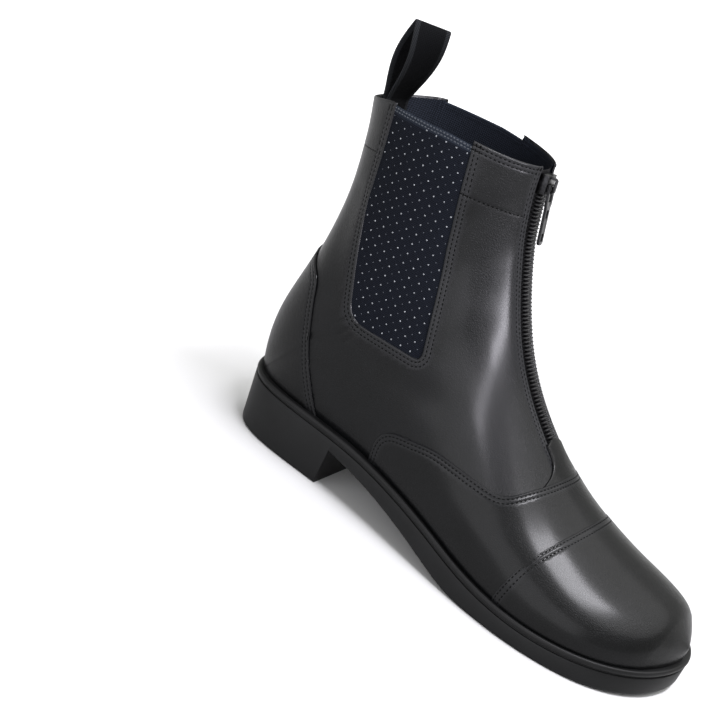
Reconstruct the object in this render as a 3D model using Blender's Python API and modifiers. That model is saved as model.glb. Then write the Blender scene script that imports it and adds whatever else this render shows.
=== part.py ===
"""Jodhpur boot for the right foot: leather upper, front zip, elastic gussets and moulded rubber sole."""

import math

import bmesh
import bpy
import numpy as np
from mathutils import Matrix, Vector

MM = 0.001

# The tables measure x from the back of the heel, y to the medial side and z from the floor, in mm.
ORIGIN_X = 141.203
ORIGIN_Y = -3.844

WALL = 2.0
FIT_GAP = 0.3
BASE_OUT = -0.6
OVERLAY_OUT = 0.5
CAP_OUT = 0.9
GUSSET_OUT = -1.3
GUSSET_THICK = 1.5
WIDEST_V = 0.22
TUCK = math.radians(35.0)
SEAT_DROP = 2.0

ZIP_SLOT_HALF = 7.0
ZIP_END_X = 171.0
TAPE_OUT = -3.1
TAPE_THICK = 0.8
TAPE_V = (0.455, 0.545)
TEETH_HALF = 4.6
TEETH_OUT = 1.0
SLIDER_TOP_Z = 203.0
SLIDER_LENGTH = 10.0
SLIDER_WIDTH = 9.6
SLIDER_OUT = 1.9
BAIL_RISE = 3.4
BAIL_BAR = 1.1
BAIL_WIDTH = 2.0
BAIL_HALF = 4.2
BAIL_CORNER = 1.1
BAIL_SUNK = 0.8
TAB_PIN_R = 0.75
TAB_LENGTH = 31.0
TAB_THICK = 1.4
TAB_TOP_WIDTH = 6.6
TAB_END_WIDTH = 4.8
TAB_NECK_START = 9.5
TAB_NECK_END = 12.0
TAB_CORNER = 1.2
TAB_LEAN = math.radians(14.0)
TAB_HOLES = (
    {"name": "yoke", "start": -2.0, "end": 8.2, "half": 1.6},
    {"name": "window", "start": 12.6, "end": 16.8, "half": 1.2},
    {"name": "eye", "start": 24.8, "end": 29.0, "half": 1.2},
)

HEEL_BREAST_X = 71.0
HEEL_BREAST_SLANT = 1.6
HEEL_TAPER = 2.2
INSOLE_THICK = 2.0
INSOLE_INSET = 4.2

LOOP_WIDTH = 20.0
LOOP_THICK = 1.3

# One row per section of the last, from the toe round the heel to above the collar.
LAST_COLUMNS = (
    "base_x", "base_z", "ridge_x", "ridge_z", "feather_lat", "feather_med",
    "wide_lat", "wide_med", "axis_y", "wide_at", "round_low", "round_top",
)
LAST = np.array([
    (280.2, 18.0, 282.2, 22.4, 0.0, 0.0, 0.0, 0.0, 5.0, 0.40, 2.0, 2.10),
    (276.8, 17.6, 275.2, 31.4, 17.0, 15.5, 18.0, 16.0, 5.0, 0.30, 2.0, 2.10),
    (269.8, 16.7, 269.2, 39.4, 31.0, 28.0, 33.0, 28.5, 4.8, 0.26, 2.0, 2.05),
    (259.3, 15.7, 258.9, 43.5, 42.0, 36.0, 44.5, 37.0, 4.4, 0.24, 2.0, 1.90),
    (246.0, 14.7, 246.8, 46.8, 49.5, 40.0, 52.0, 41.5, 3.6, 0.22, 2.0, 1.88),
    (228.0, 13.6, 230.0, 50.8, 53.5, 42.0, 56.0, 43.5, 2.6, 0.21, 2.0, 1.88),
    (208.0, 13.2, 212.3, 57.0, 54.5, 43.0, 57.0, 45.0, 1.6, 0.20, 2.0, 1.88),
    (186.0, 14.8, 194.0, 65.0, 52.0, 40.5, 55.0, 43.5, 0.8, 0.20, 2.0, 1.93),
    (162.0, 19.2, 178.1, 76.0, 47.0, 35.5, 51.0, 40.5, 0.3, 0.21, 2.0, 1.95),
    (138.0, 24.6, 162.4, 88.6, 42.0, 31.0, 46.5, 39.0, 0.0, 0.24, 2.0, 1.98),
    (112.0, 29.2, 147.9, 102.5, 37.0, 27.0, 42.5, 37.0, 0.0, 0.29, 2.0, 2.00),
    (86.0, 32.0, 135.5, 118.0, 33.0, 27.0, 39.5, 36.5, 0.0, 0.35, 2.0, 2.05),
    (60.0, 33.0, 126.0, 134.5, 31.8, 29.0, 38.0, 36.5, 0.0, 0.41, 2.0, 2.10),
    (38.0, 33.2, 118.9, 149.0, 30.5, 29.0, 37.5, 36.5, 0.0, 0.46, 2.0, 2.15),
    (20.5, 33.0, 114.4, 159.6, 26.3, 25.3, 37.2, 36.5, 0.0, 0.49, 2.0, 2.20),
    (11.0, 31.0, 111.6, 167.0, 19.0, 18.5, 37.0, 36.5, 0.0, 0.50, 2.0, 2.20),
    (6.0, 28.0, 109.9, 173.0, 9.5, 9.3, 37.0, 36.5, 0.0, 0.50, 2.0, 2.20),
    (4.5, 24.0, 108.5, 179.0, 0.0, 0.0, 37.0, 36.5, 0.0, 0.50, 2.0, 2.20),
    (1.8, 36.0, 107.3, 184.0, 0.0, 0.0, 37.0, 36.5, 0.0, 0.50, 2.1, 2.20),
    (-0.6, 50.0, 106.4, 188.5, 0.0, 0.0, 37.0, 36.5, 0.0, 0.50, 2.1, 2.20),
    (-0.4, 66.0, 105.7, 192.0, 0.0, 0.0, 37.0, 36.5, 0.0, 0.50, 2.1, 2.20),
    (3.2, 84.0, 105.2, 195.0, 0.0, 0.0, 37.0, 36.5, 0.0, 0.50, 2.2, 2.20),
    (6.8, 102.0, 104.8, 197.5, 0.0, 0.0, 37.0, 36.5, 0.0, 0.50, 2.2, 2.20),
    (8.8, 120.0, 104.5, 199.5, 0.0, 0.0, 37.0, 36.3, 0.0, 0.50, 2.2, 2.20),
    (9.4, 140.0, 104.3, 201.3, 0.0, 0.0, 37.0, 35.8, 0.0, 0.50, 2.2, 2.20),
    (8.2, 160.0, 104.1, 202.8, 0.0, 0.0, 37.0, 34.6, 0.0, 0.50, 2.2, 2.20),
    (4.8, 178.0, 104.0, 204.0, 0.0, 0.0, 37.0, 32.8, 0.0, 0.50, 2.2, 2.20),
    (-0.2, 196.0, 103.9, 207.0, 0.0, 0.0, 37.0, 30.8, 0.0, 0.50, 2.2, 2.20),
    (-4.8, 212.0, 103.8, 218.0, 0.0, 0.0, 37.0, 29.0, 0.0, 0.50, 2.2, 2.20),
])
CLOSED_ROW = 18.0
SOLE_HEEL_T = 16.95

# Section rows used for the faceted upper.
GRID_T = (
    0.0, 0.4, 0.8, 1.3, 1.8, 2.4, 3.1, 3.9, 4.8, 5.7, 6.6, 7.5, 8.4, 9.3, 10.2, 11.1, 12.0, 12.9,
    13.8, 14.6, 15.4, 16.2, 17.0, 18.0, 18.8, 19.7, 20.6, 21.6, 22.6, 23.6, 24.7, 25.8, 26.9, 28.0,
)
GRID_V = 29

# Seat of the upper on the sole and underside of the sole along the boot's length.
SOLE_COLUMNS = ("x", "top", "underside")
SOLE_PROFILE = np.array([
    (-8.0, 33.4, 26.0),
    (20.0, 33.4, 26.0),
    (40.0, 33.3, 25.0),
    (60.0, 33.0, 23.0),
    (86.0, 32.0, 20.0),
    (112.0, 29.0, 15.6),
    (138.0, 24.4, 9.0),
    (158.0, 19.6, 2.6),
    (172.0, 16.6, 0.0),
    (190.0, 14.4, 0.0),
    (210.0, 13.4, 0.0),
    (228.0, 13.6, 0.0),
    (242.0, 14.4, 0.0),
    (256.0, 15.4, 0.4),
    (270.0, 16.6, 1.4),
    (280.0, 17.6, 2.6),
    (290.0, 18.6, 4.0),
])

# Rings of the sole's side: distance out from the feather line, and height from its top or its foot.
SOLE_EDGE = (
    {"ring": "bead_inner", "out": 3.4, "from": "top", "step": 0.0},
    {"ring": "bead_upper", "out": 4.3, "from": "top", "step": -0.8},
    {"ring": "bead_lower", "out": 4.3, "from": "top", "step": -2.6},
    {"ring": "groove_upper", "out": 3.1, "from": "top", "step": -3.2},
    {"ring": "groove_lower", "out": 3.1, "from": "top", "step": -4.1},
    {"ring": "wall_upper", "out": 3.9, "from": "top", "step": -4.7},
    {"ring": "wall_lower", "out": 3.4, "from": "foot", "step": 1.4},
    {"ring": "foot", "out": 2.2, "from": "foot", "step": 0.0},
)

# Side outlines of the leather pieces and the gusset window, with the corner radius of each point.
VAMP_EDGE = (
    (94.5, 20.0, 0.0), (94.5, 52.0, 15.0), (128.0, 60.0, 60.0), (170.5, 58.2, 14.0), (187.0, 72.3, 0.0),
    (196.0, 92.0, 0.0), (320.0, 92.0, 0.0), (320.0, -10.0, 0.0), (94.5, -10.0, 0.0),
)
CAP_EDGE = (
    (192.6, -10.0, 0.0), (192.6, 18.0, 20.0), (198.0, 43.0, 60.0), (211.5, 62.0, 0.0),
    (225.0, 92.0, 0.0), (320.0, 92.0, 0.0), (320.0, -10.0, 0.0),
)
COUNTER_EDGE = (
    (-30.0, -10.0, 0.0), (58.0, -10.0, 0.0), (58.0, 30.0, 0.0), (37.0, 62.0, 80.0), (24.0, 100.0, 14.0),
    (4.0, 111.0, 0.0), (-30.0, 113.0, 0.0),
)
GUSSET_EDGE = (
    (21.7, 230.0, 0.0), (32.0, 150.0, 90.0), (52.0, 92.5, 12.0), (97.8, 93.8, 4.0), (82.3, 153.5, 150.0),
    (68.5, 230.0, 0.0),
)
COLLAR_EDGE = (
    (-30.0, 192.0, 0.0), (0.0, 194.6, 0.0), (22.0, 203.0, 40.0), (62.0, 207.4, 60.0), (106.0, 206.8, 0.0),
    (140.0, 206.4, 0.0), (140.0, 260.0, 0.0), (-30.0, 260.0, 0.0),
)
GUSSET_TOP_EDGE = (
    (0.0, 198.0, 0.0), (22.0, 201.6, 0.0), (60.0, 204.6, 60.0), (106.0, 204.6, 0.0),
    (106.0, 260.0, 0.0), (0.0, 260.0, 0.0),
)

# Pull loop: strand rows from one tail inside the collar, over the top, to the other tail.
LOOP_COLUMNS = ("gap", "height", "turn")
LOOP = np.array([
    (-0.85, -16.0, 2.0),
    (-0.85, -6.0, 3.0),
    (-1.2, 3.0, 10.0),
    (-5.0, 14.0, 18.0),
    (-7.2, 25.0, 28.0),
    (-5.6, 35.0, 42.0),
    (-1.6, 43.0, 50.0),
    (1.6, 43.4, 51.0),
    (5.6, 36.0, 43.0),
    (6.2, 26.0, 29.0),
    (4.2, 14.0, 18.0),
    (1.4, 3.0, 10.0),
    (0.85, -6.0, 3.0),
    (0.85, -16.0, 2.0),
])
LOOP_BASE = (7.9, 2.3, 196.0)
LOOP_LEAN = (0.09, -0.04)
COLLAR_BACK_SLOPE = -0.29


def blend(rows, t, before=None):
    """Uniform cubic B-spline along a table; it ends on the outer rows unless a row before is given."""
    t = np.clip(np.asarray(t, float), 0.0, len(rows) - 1 - 1e-9)
    first = np.floor(t).astype(int)
    u = (t - first)[..., None]
    before = 2 * rows[0] - rows[1] if before is None else before
    padded = np.vstack([before, rows, 2 * rows[-1] - rows[-2]])
    weights = ((1 - u) ** 3, 3 * u**3 - 6 * u**2 + 4, -3 * u**3 + 3 * u**2 + 3 * u + 1, u**3)
    return sum(w * padded[first + k] for k, w in enumerate(weights)) / 6


def last_row(t):
    """Values of the last's columns in section t; the widths change sign at the toe to keep its nose round."""
    mirrored = LAST[1] * [-1.0 if name.endswith(("_lat", "_med")) else 1.0 for name in LAST_COLUMNS]
    values = blend(LAST, t, mirrored)
    return {name: values[..., k] for k, name in enumerate(LAST_COLUMNS)}


def last_point(t, v):
    """Point of the last in section t; v runs from the lateral feather line over the ridge to the medial."""
    t, v = np.broadcast_arrays(np.asarray(t, float), np.asarray(v, float))
    row = last_row(t)
    lateral = v <= 0.5
    half = np.where(lateral, v, 1.0 - v)
    feather = np.maximum(np.where(lateral, row["feather_lat"], row["feather_med"]), 0.0)
    wide = np.where(lateral, row["wide_lat"], row["wide_med"])
    share = np.where(wide > 1e-6, np.clip(1.25 * feather / np.maximum(wide, 1e-6), 0.0, 1.0), 1.0)
    share = share * share * (3 - 2 * share)
    low = TUCK * share + (math.pi / 2 - TUCK * share) * np.clip(half / WIDEST_V, 0.0, 1.0)
    top = np.clip((half - WIDEST_V) / (0.5 - WIDEST_V), 0.0, 1.0) * math.pi / 2
    below = half < WIDEST_V
    power = 2 / row["round_low"]
    sine, cosine = np.sin(TUCK * share) ** power, np.cos(TUCK * share) ** power
    y_low = feather + (wide - feather) * (np.sin(low) ** power - sine) / (1 - sine)
    rise_low = row["wide_at"] * (1 - np.maximum(np.cos(low), 0.0) ** power / cosine)
    power = 2 / row["round_top"]
    y_top = wide * np.maximum(np.cos(top), 0.0) ** power
    rise_top = row["wide_at"] + (1 - row["wide_at"]) * np.sin(top) ** power
    y = np.where(below, y_low, y_top)
    rise = np.where(below, rise_low, rise_top)
    base_z = row["base_z"] - SEAT_DROP * share
    x = row["base_x"] + (row["ridge_x"] - row["base_x"]) * rise
    z = base_z + (row["ridge_z"] - base_z) * rise
    return np.stack([x, row["axis_y"] + np.where(lateral, -y, y), z], -1)


def offset_grid(t_values, v_values, out):
    """Grid of points a set distance outside the last, along its normals."""
    t, v = np.meshgrid(t_values, v_values, indexing="ij")
    step_t, step_v = 0.02, 0.002
    t_top = len(LAST) - 1
    along = last_point(np.minimum(t + step_t, t_top), v) - last_point(np.maximum(t - step_t, 0.0), v)
    v_near = np.clip(v, step_v, 1.0 - step_v)
    around = last_point(t, v_near + step_v) - last_point(t, v_near - step_v)
    normal = np.cross(around, along)
    seam = (t >= CLOSED_ROW) & ((v < 1e-9) | (v > 1 - 1e-9))
    normal[seam, 1] = 0.0
    nose = t < 1e-6
    side = np.clip(np.minimum(v, 1.0 - v), step_v, 0.5 - step_v)
    upright = last_point(t, side + step_v) - last_point(t, side - step_v)
    normal[nose] = np.stack([upright[nose, 2], 0 * upright[nose, 1], -upright[nose, 0]], -1)
    size = np.linalg.norm(normal, axis=-1, keepdims=True)
    return last_point(t, v) + out * normal / np.maximum(size, 1e-9)


def ridge_frame(t):
    """Ridge point of section t, the direction down the zip and the outward normal, in the side view."""
    here = last_point(t, 0.5)
    after = last_point(t - 0.02, 0.5)
    down = after - here
    down[1] = 0.0
    down = down / np.linalg.norm(down)
    return here, down, np.array([-down[2], 0.0, down[0]])


def ridge_t_where(column, value, low, high):
    """Section whose ridge reaches a height or a length, found by halving."""
    for _ in range(40):
        middle = (low + high) / 2
        if (last_point(middle, 0.5)[column] - value) * (last_point(low, 0.5)[column] - value) <= 0:
            high = middle
        else:
            low = middle
    return (low + high) / 2


def profile_at(x, column):
    """Height of the sole's top or underside at x, from the smooth profile table."""
    fine = blend(SOLE_PROFILE, np.linspace(0, len(SOLE_PROFILE) - 1, 400))
    return np.interp(x, fine[:, 0], fine[:, SOLE_COLUMNS.index(column)])


def world(points):
    points = np.asarray(points, float)
    return (points - np.array([ORIGIN_X, ORIGIN_Y, 0.0])) * MM


def rounded(corners, inset=0.0):
    """Closed side outline with filleted corners, moved inwards by inset."""
    points = [Vector(c[:2]) for c in corners]
    count = len(points)
    area = sum(points[k - 1].cross(points[k]) for k in range(count))
    turn = 1.0 if area > 0 else -1.0
    moved = []
    for k in range(count):
        before = (points[k] - points[k - 1]).normalized()
        after = (points[(k + 1) % count] - points[k]).normalized()
        n_before = Vector((-before.y, before.x)) * turn
        n_after = Vector((-after.y, after.x)) * turn
        bisector = (n_before + n_after).normalized()
        moved.append(points[k] + bisector * (inset / max(bisector.dot(n_before), 0.2)))
    outline = []
    for k in range(count):
        radius = corners[k][2]
        here = moved[k]
        back = moved[k - 1] - here
        ahead = moved[(k + 1) % count] - here
        if radius <= 0:
            outline.append(here)
            continue
        angle = back.angle(ahead)
        reach = min(radius / math.tan(angle / 2), 0.48 * back.length, 0.48 * ahead.length)
        start = here + back.normalized() * reach
        end = here + ahead.normalized() * reach
        for step in range(7):
            u = step / 6
            outline.append((1 - u) ** 2 * start + 2 * u * (1 - u) * here + u**2 * end)
    return outline


def make_collection(name):
    collection = bpy.data.collections.new(name)
    bpy.context.scene.collection.children.link(collection)
    return collection


def make_material(name, colour, roughness, metallic=0.0):
    material = bpy.data.materials.new(name)
    material.use_nodes = True
    shader = material.node_tree.nodes["Principled BSDF"]
    shader.inputs["Base Color"].default_value = (*colour, 1.0)
    shader.inputs["Roughness"].default_value = roughness
    shader.inputs["Metallic"].default_value = metallic
    material.diffuse_color = (*colour, 1.0)
    return material


def finish(bm, name, material=None, weld=0.0):
    """Object from a bmesh, with outward faces; without a material it is a cutter."""
    if weld:
        bmesh.ops.remove_doubles(bm, verts=bm.verts, dist=weld)
        bmesh.ops.dissolve_degenerate(bm, edges=bm.edges, dist=weld / 10)
    bmesh.ops.recalc_face_normals(bm, faces=bm.faces)
    mesh = bpy.data.meshes.new(name)
    bm.to_mesh(mesh)
    bm.free()
    obj = bpy.data.objects.new(name, mesh)
    if material:
        mesh.materials.append(material)
        boot.objects.link(obj)
    else:
        cutters.objects.link(obj)
        obj.hide_render = True
        obj.display_type = "WIRE"
    return obj


def add_faces(bm, points, faces):
    verts = [bm.verts.new(p) for p in points]
    for face in faces:
        bm.faces.new([verts[k] for k in face])


def slab_into(bm, sides):
    """Slab between two equal outlines."""
    rows = [[bm.verts.new(p) for p in side] for side in sides]
    bm.faces.new(rows[0])
    bm.faces.new(rows[1])
    count = len(rows[0])
    for k in range(count):
        n = (k + 1) % count
        bm.faces.new((rows[0][k], rows[0][n], rows[1][n], rows[1][k]))


def boolean(obj, operation, cutter):
    modifier = obj.modifiers.new(cutter.name, "BOOLEAN")
    modifier.operation = operation
    modifier.solver = "EXACT"
    modifier.object = cutter


def prism(name, outline, y_low, y_high, material=None):
    """Side outline extruded across the boot."""
    bm = bmesh.new()
    slab_into(bm, [[world((p[0], y, p[1])) for p in outline] for y in (y_low, y_high)])
    return finish(bm, name, material)


def shell(name, material, t_values, v_values, out, thick):
    """Sheet of leather or tape a set distance outside the last, thickened inwards."""
    grid = offset_grid(t_values, v_values, out)
    rows, columns = grid.shape[:2]
    faces = []
    for r in range(rows - 1):
        for c in range(columns - 1):
            a, b = r * columns + c, r * columns + c + 1
            d, e = a + columns, b + columns
            lateral = 2 * c < columns - 1
            faces += [(a, b, d), (b, e, d)] if lateral else [(a, b, e), (a, e, d)]
    bm = bmesh.new()
    add_faces(bm, world(grid.reshape(-1, 3)), faces)
    bmesh.ops.remove_doubles(bm, verts=bm.verts, dist=1e-6)
    bmesh.ops.recalc_face_normals(bm, faces=bm.faces)
    obj = finish(bm, name, material)
    outward(obj)
    solidify = obj.modifiers.new("wall", "SOLIDIFY")
    solidify.thickness = thick * MM
    solidify.offset = -1.0
    solidify.use_quality_normals = True
    return obj


def outward(obj):
    """Turns the sheet's faces away from the boot's axis when they point inwards."""
    axis = Vector(world((60.0, 0.0, 60.0)))
    score = sum((f.center - axis).dot(f.normal) * f.area for f in obj.data.polygons)
    if score < 0:
        obj.data.flip_normals()


def sole_sections(step):
    """Section parameters of the sole's outline, with a close pair of rows at the heel breast."""
    fine = np.linspace(0.0, SOLE_HEEL_T, 600)
    x = last_row(fine)["base_x"]
    values = list(np.arange(0.0, SOLE_HEEL_T, step)) + [SOLE_HEEL_T]
    pair = [float(np.interp(-v, -x, fine)) for v in (HEEL_BREAST_X + HEEL_BREAST_SLANT, HEEL_BREAST_X)]
    values = [v for v in values if min(abs(v - p) for p in pair) > step * 0.35]
    return np.array(sorted(values + pair))


def feather_outline(t_values, out):
    """Plan outline at a distance out from the feather line, as lateral and medial runs from toe to heel."""
    row = last_row(t_values)
    runs = []
    for side, column in ((-1.0, "feather_lat"), (1.0, "feather_med")):
        xy = np.stack([row["base_x"], row["axis_y"] + side * np.maximum(row[column], 0.0)], -1)
        fine_t = np.clip(t_values[:, None] + np.array([-0.03, 0.03]), 0.0, CLOSED_ROW)
        ends = last_row(fine_t)
        run = np.stack([ends["base_x"], ends["axis_y"] + side * np.maximum(ends[column], 0.0)], -1)
        tangent = run[:, 1] - run[:, 0]
        tangent = tangent / np.maximum(np.linalg.norm(tangent, axis=1, keepdims=True), 1e-9)
        normal = np.stack([-tangent[:, 1], tangent[:, 0]], -1) * -side
        normal[0] = (1.0, 0.0)
        normal[-1] = (-1.0, 0.0)
        runs.append(xy + np.asarray(out)[..., None] * normal)
    return runs


def ladder_solid(name, material, rings):
    """Closed solid from stacked outline rings; each ring holds a lateral and a medial run with equal rows."""
    bm = bmesh.new()
    loops = []
    for lateral, medial in rings:
        loops.append([bm.verts.new(world(p)) for p in list(lateral) + list(medial[::-1])])
    count = len(loops[0])
    for upper_ring, lower_ring in zip(loops, loops[1:]):
        for k in range(count):
            n = (k + 1) % count
            bm.faces.new((upper_ring[k], upper_ring[n], lower_ring[n], lower_ring[k]))
    for loop in (loops[0], loops[-1]):
        for k in range(count // 2 - 1):
            bm.faces.new((loop[k], loop[k + 1], loop[count - 2 - k], loop[count - 1 - k]))
    return finish(bm, name, material, weld=1e-5)


def make_sole(material):
    """Moulded unit: welt bead, groove, wall, arched waist and a heel block with a straight breast."""
    t_values = sole_sections(0.45)
    in_heel = last_row(t_values)["base_x"] < HEEL_BREAST_X + HEEL_BREAST_SLANT / 2
    rings = []
    for edge in SOLE_EDGE:
        low = edge["from"] == "foot"
        out = edge["out"] - HEEL_TAPER * (in_heel & low)
        ring = []
        for run in feather_outline(t_values, out):
            foot = np.where(in_heel, 0.0, profile_at(run[:, 0], "underside"))
            top = profile_at(run[:, 0], "top")
            z = (foot if low else top) + edge["step"]
            ring.append(np.column_stack([run, z]))
        rings.append(ring)
    return ladder_solid("outsole", material, rings)


def make_insole(material):
    t_values = sole_sections(0.8)
    t_values = t_values[(t_values > 0.25) & (t_values < 16.6)]
    rings = []
    for rise in (FIT_GAP + INSOLE_THICK, FIT_GAP):
        ring = []
        for run in feather_outline(t_values, -INSOLE_INSET * np.ones(len(t_values))):
            ring.append(np.column_stack([run, profile_at(run[:, 0], "top") + rise]))
        rings.append(ring)
    return ladder_solid("insole", material, rings)


def strip_outline(t_values, inner, outer):
    """Side outline that follows the ridge between two distances from it."""
    frames = [ridge_frame(t) for t in t_values]
    near = [here + normal * outer for here, _, normal in frames]
    far = [here + normal * inner for here, _, normal in frames]
    return [(p[0], p[2]) for p in near + far[::-1]]


def placed(obj, pivot, down, normal):
    """Puts a small part that was drawn flat on the zip: its X runs down the zip and its Z points out."""
    axes = Matrix((down, np.cross(normal, down), normal)).transposed()
    obj.matrix_world = Matrix.Translation(Vector(world(pivot))) @ axes.to_4x4()


def box_into(bm, low, high):
    made = bmesh.ops.create_cube(bm, size=1.0)["verts"]
    for vert in made:
        vert.co = Vector([(low[k] + high[k]) / 2 + vert.co[k] * (high[k] - low[k]) for k in range(3)]) * MM


def flat_box(name, low, high, material=None):
    bm = bmesh.new()
    box_into(bm, low, high)
    return finish(bm, name, material)


def make_slider(material, pivot, down, normal):
    """Slider body with the raised bail that the pull tab hangs from."""
    bm = bmesh.new()
    bottom = TAPE_OUT + FIT_GAP
    half = (SLIDER_LENGTH / 2, SLIDER_WIDTH / 2)
    box_into(bm, (-half[0], -half[1], bottom), (half[0], half[1], SLIDER_OUT))
    slider = finish(bm, "zip_slider", material)
    top = SLIDER_OUT + BAIL_RISE
    foot = SLIDER_OUT - BAIL_SUNK
    inner = BAIL_HALF - BAIL_BAR
    arch = (
        (-BAIL_HALF, foot), (-BAIL_HALF, top - BAIL_CORNER), (-BAIL_HALF + BAIL_CORNER, top),
        (BAIL_HALF - BAIL_CORNER, top), (BAIL_HALF, top - BAIL_CORNER), (BAIL_HALF, foot),
        (inner, foot), (inner, top - BAIL_BAR), (-inner, top - BAIL_BAR), (-inner, foot),
    )
    bm = bmesh.new()
    slab_into(bm, [[Vector((a, y, b)) * MM for a, b in arch] for y in (-BAIL_WIDTH / 2, BAIL_WIDTH / 2)])
    bail = finish(bm, "bail_join")
    boolean(slider, "UNION", bail)
    for obj in (slider, bail):
        placed(obj, pivot, down, normal)
    return slider


def make_tab(material, pivot, down, normal):
    """Pull tab with its pin under the slider's bail; the origin is on the pin's axis."""
    bm = bmesh.new()
    half, end, thick = TAB_TOP_WIDTH / 2, TAB_END_WIDTH / 2, TAB_THICK / 2
    edge = (
        (0.0, half), (TAB_NECK_START, half), (TAB_NECK_END, end),
        (TAB_LENGTH - TAB_CORNER, end), (TAB_LENGTH, end - TAB_CORNER),
    )
    outline = [(a, -b) for a, b in edge] + list(edge[::-1])
    slab_into(bm, [[Vector((a, b, c)) * MM for a, b in outline] for c in (-thick, thick)])
    tab = finish(bm, "zip_pull_tab", material)
    for hole_row in TAB_HOLES:
        low = (hole_row["start"], -hole_row["half"], -TAB_THICK)
        high = (hole_row["end"], hole_row["half"], TAB_THICK)
        hole = flat_box("tab_" + hole_row["name"], low, high)
        hole.parent = tab
        boolean(tab, "DIFFERENCE", hole)
    bm = bmesh.new()
    along_y = Matrix.Rotation(math.pi / 2, 3, "X")
    bmesh.ops.create_cone(
        bm, cap_ends=True, segments=16, radius1=TAB_PIN_R * MM, radius2=TAB_PIN_R * MM,
        depth=TAB_TOP_WIDTH * MM, matrix=along_y.to_4x4(),
    )
    pin = finish(bm, "tab_pin_join")
    pin.parent = tab
    boolean(tab, "UNION", pin)
    placed(tab, pivot, down, normal)
    return tab


def make_loop(material):
    """Webbing strap sewn inside the collar's back and folded into an upright loop that turns a little."""
    rows = blend(LOOP, np.linspace(0, len(LOOP) - 1, 34))
    gap, height, turn = rows[:, 0], rows[:, 1], np.radians(rows[:, 2])
    rise = np.maximum(height, 0.0)
    across = np.stack([np.sin(turn), np.cos(turn), 0 * turn], -1)
    fold = np.stack([np.cos(turn), -np.sin(turn), 0 * turn], -1)
    sunk = np.minimum(height, 0.0)
    centre_x = LOOP_BASE[0] + LOOP_LEAN[0] * rise + COLLAR_BACK_SLOPE * sunk
    centre = np.stack([centre_x, LOOP_BASE[1] + LOOP_LEAN[1] * rise, LOOP_BASE[2] + height], -1)
    centre = centre + gap[:, None] * fold
    tangent = np.gradient(centre, axis=0)
    face = np.cross(tangent, across)
    face = face / np.linalg.norm(face, axis=1, keepdims=True)
    bm = bmesh.new()
    loops = []
    for k in range(len(rows)):
        corners = [
            centre[k] + a * across[k] * LOOP_WIDTH / 2 + b * face[k] * LOOP_THICK / 2
            for a, b in ((-1, -1), (1, -1), (1, 1), (-1, 1))
        ]
        loops.append([bm.verts.new(world(p)) for p in corners])
    for here, after in zip(loops, loops[1:]):
        for k in range(4):
            n = (k + 1) % 4
            bm.faces.new((here[k], here[n], after[n], after[k]))
    bm.faces.new(loops[0])
    bm.faces.new(loops[-1])
    return finish(bm, "pull_loop", material)


for old in list(bpy.data.objects):
    bpy.data.objects.remove(old, do_unlink=True)
boot = make_collection("jodhpur_boot")
cutters = make_collection("boot_cutters")

leather = make_material("leather_quarters", (0.030, 0.030, 0.033), 0.38)
leather_vamp = make_material("leather_vamp", (0.034, 0.034, 0.037), 0.36)
leather_cap = make_material("leather_cap", (0.040, 0.040, 0.044), 0.30)
leather_counter = make_material("leather_counter", (0.028, 0.028, 0.031), 0.40)
rubber = make_material("sole_rubber", (0.055, 0.056, 0.058), 0.62)
foot_bed = make_material("insole_board", (0.09, 0.08, 0.07), 0.85)
elastic_lat = make_material("elastic_lateral", (0.020, 0.022, 0.030), 0.85)
elastic_med = make_material("elastic_medial", (0.020, 0.022, 0.030), 0.85)
tape_cloth = make_material("zip_tape_cloth", (0.012, 0.012, 0.013), 0.9)
teeth_plastic = make_material("zip_teeth_plastic", (0.022, 0.022, 0.024), 0.45)
slider_metal = make_material("slider_metal", (0.10, 0.10, 0.11), 0.3, 1.0)
tab_metal = make_material("tab_metal", (0.11, 0.11, 0.12), 0.3, 1.0)
webbing = make_material("loop_webbing", (0.022, 0.023, 0.026), 0.85)

seat_x = np.linspace(-25.0, 305.0, 52)
seat_line = [(x, profile_at(x, "top") + FIT_GAP) for x in seat_x]
seat_cutter = prism("seat_cutter", seat_line + [(305.0, -15.0), (-25.0, -15.0)], -95.0, 95.0)
collar_cutter = prism("collar_cutter", rounded(COLLAR_EDGE), -60.0, 60.0)
gusset_top_cutter = prism("gusset_top_cutter", rounded(GUSSET_TOP_EDGE), -60.0, 60.0)
zip_end_t = ridge_t_where(0, ZIP_END_X, 5.0, 14.0)
zip_t = np.linspace(zip_end_t, 28.0, 26)
slot_cutter = prism("zip_slot_cutter", strip_outline(zip_t, -9.0, 12.0), -ZIP_SLOT_HALF, ZIP_SLOT_HALF)

all_v = np.linspace(0.0, 1.0, GRID_V)
outsole = make_sole(rubber)
insole = make_insole(foot_bed)

upper = shell("upper", leather, GRID_T, all_v, BASE_OUT, WALL)
boolean(upper, "DIFFERENCE", seat_cutter)
boolean(upper, "DIFFERENCE", collar_cutter)
boolean(upper, "DIFFERENCE", slot_cutter)

GUSSET_SIDES = (
    {"name": "gusset_lateral", "material": elastic_lat, "y": (-70.0, -18.0), "v": (0.07, 0.40)},
    {"name": "gusset_medial", "material": elastic_med, "y": (18.0, 70.0), "v": (0.60, 0.93)},
)
for side in GUSSET_SIDES:
    window = prism(side["name"] + "_window", rounded(GUSSET_EDGE), *side["y"])
    boolean(upper, "DIFFERENCE", window)
    panel_t = np.linspace(11.0, 28.0, 15)
    panel_v = np.linspace(*side["v"], 8)
    panel = shell(side["name"], side["material"], panel_t, panel_v, GUSSET_OUT, GUSSET_THICK)
    outline = prism(side["name"] + "_outline", rounded(GUSSET_EDGE, FIT_GAP), *side["y"])
    boolean(panel, "INTERSECT", outline)
    boolean(panel, "DIFFERENCE", gusset_top_cutter)

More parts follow.
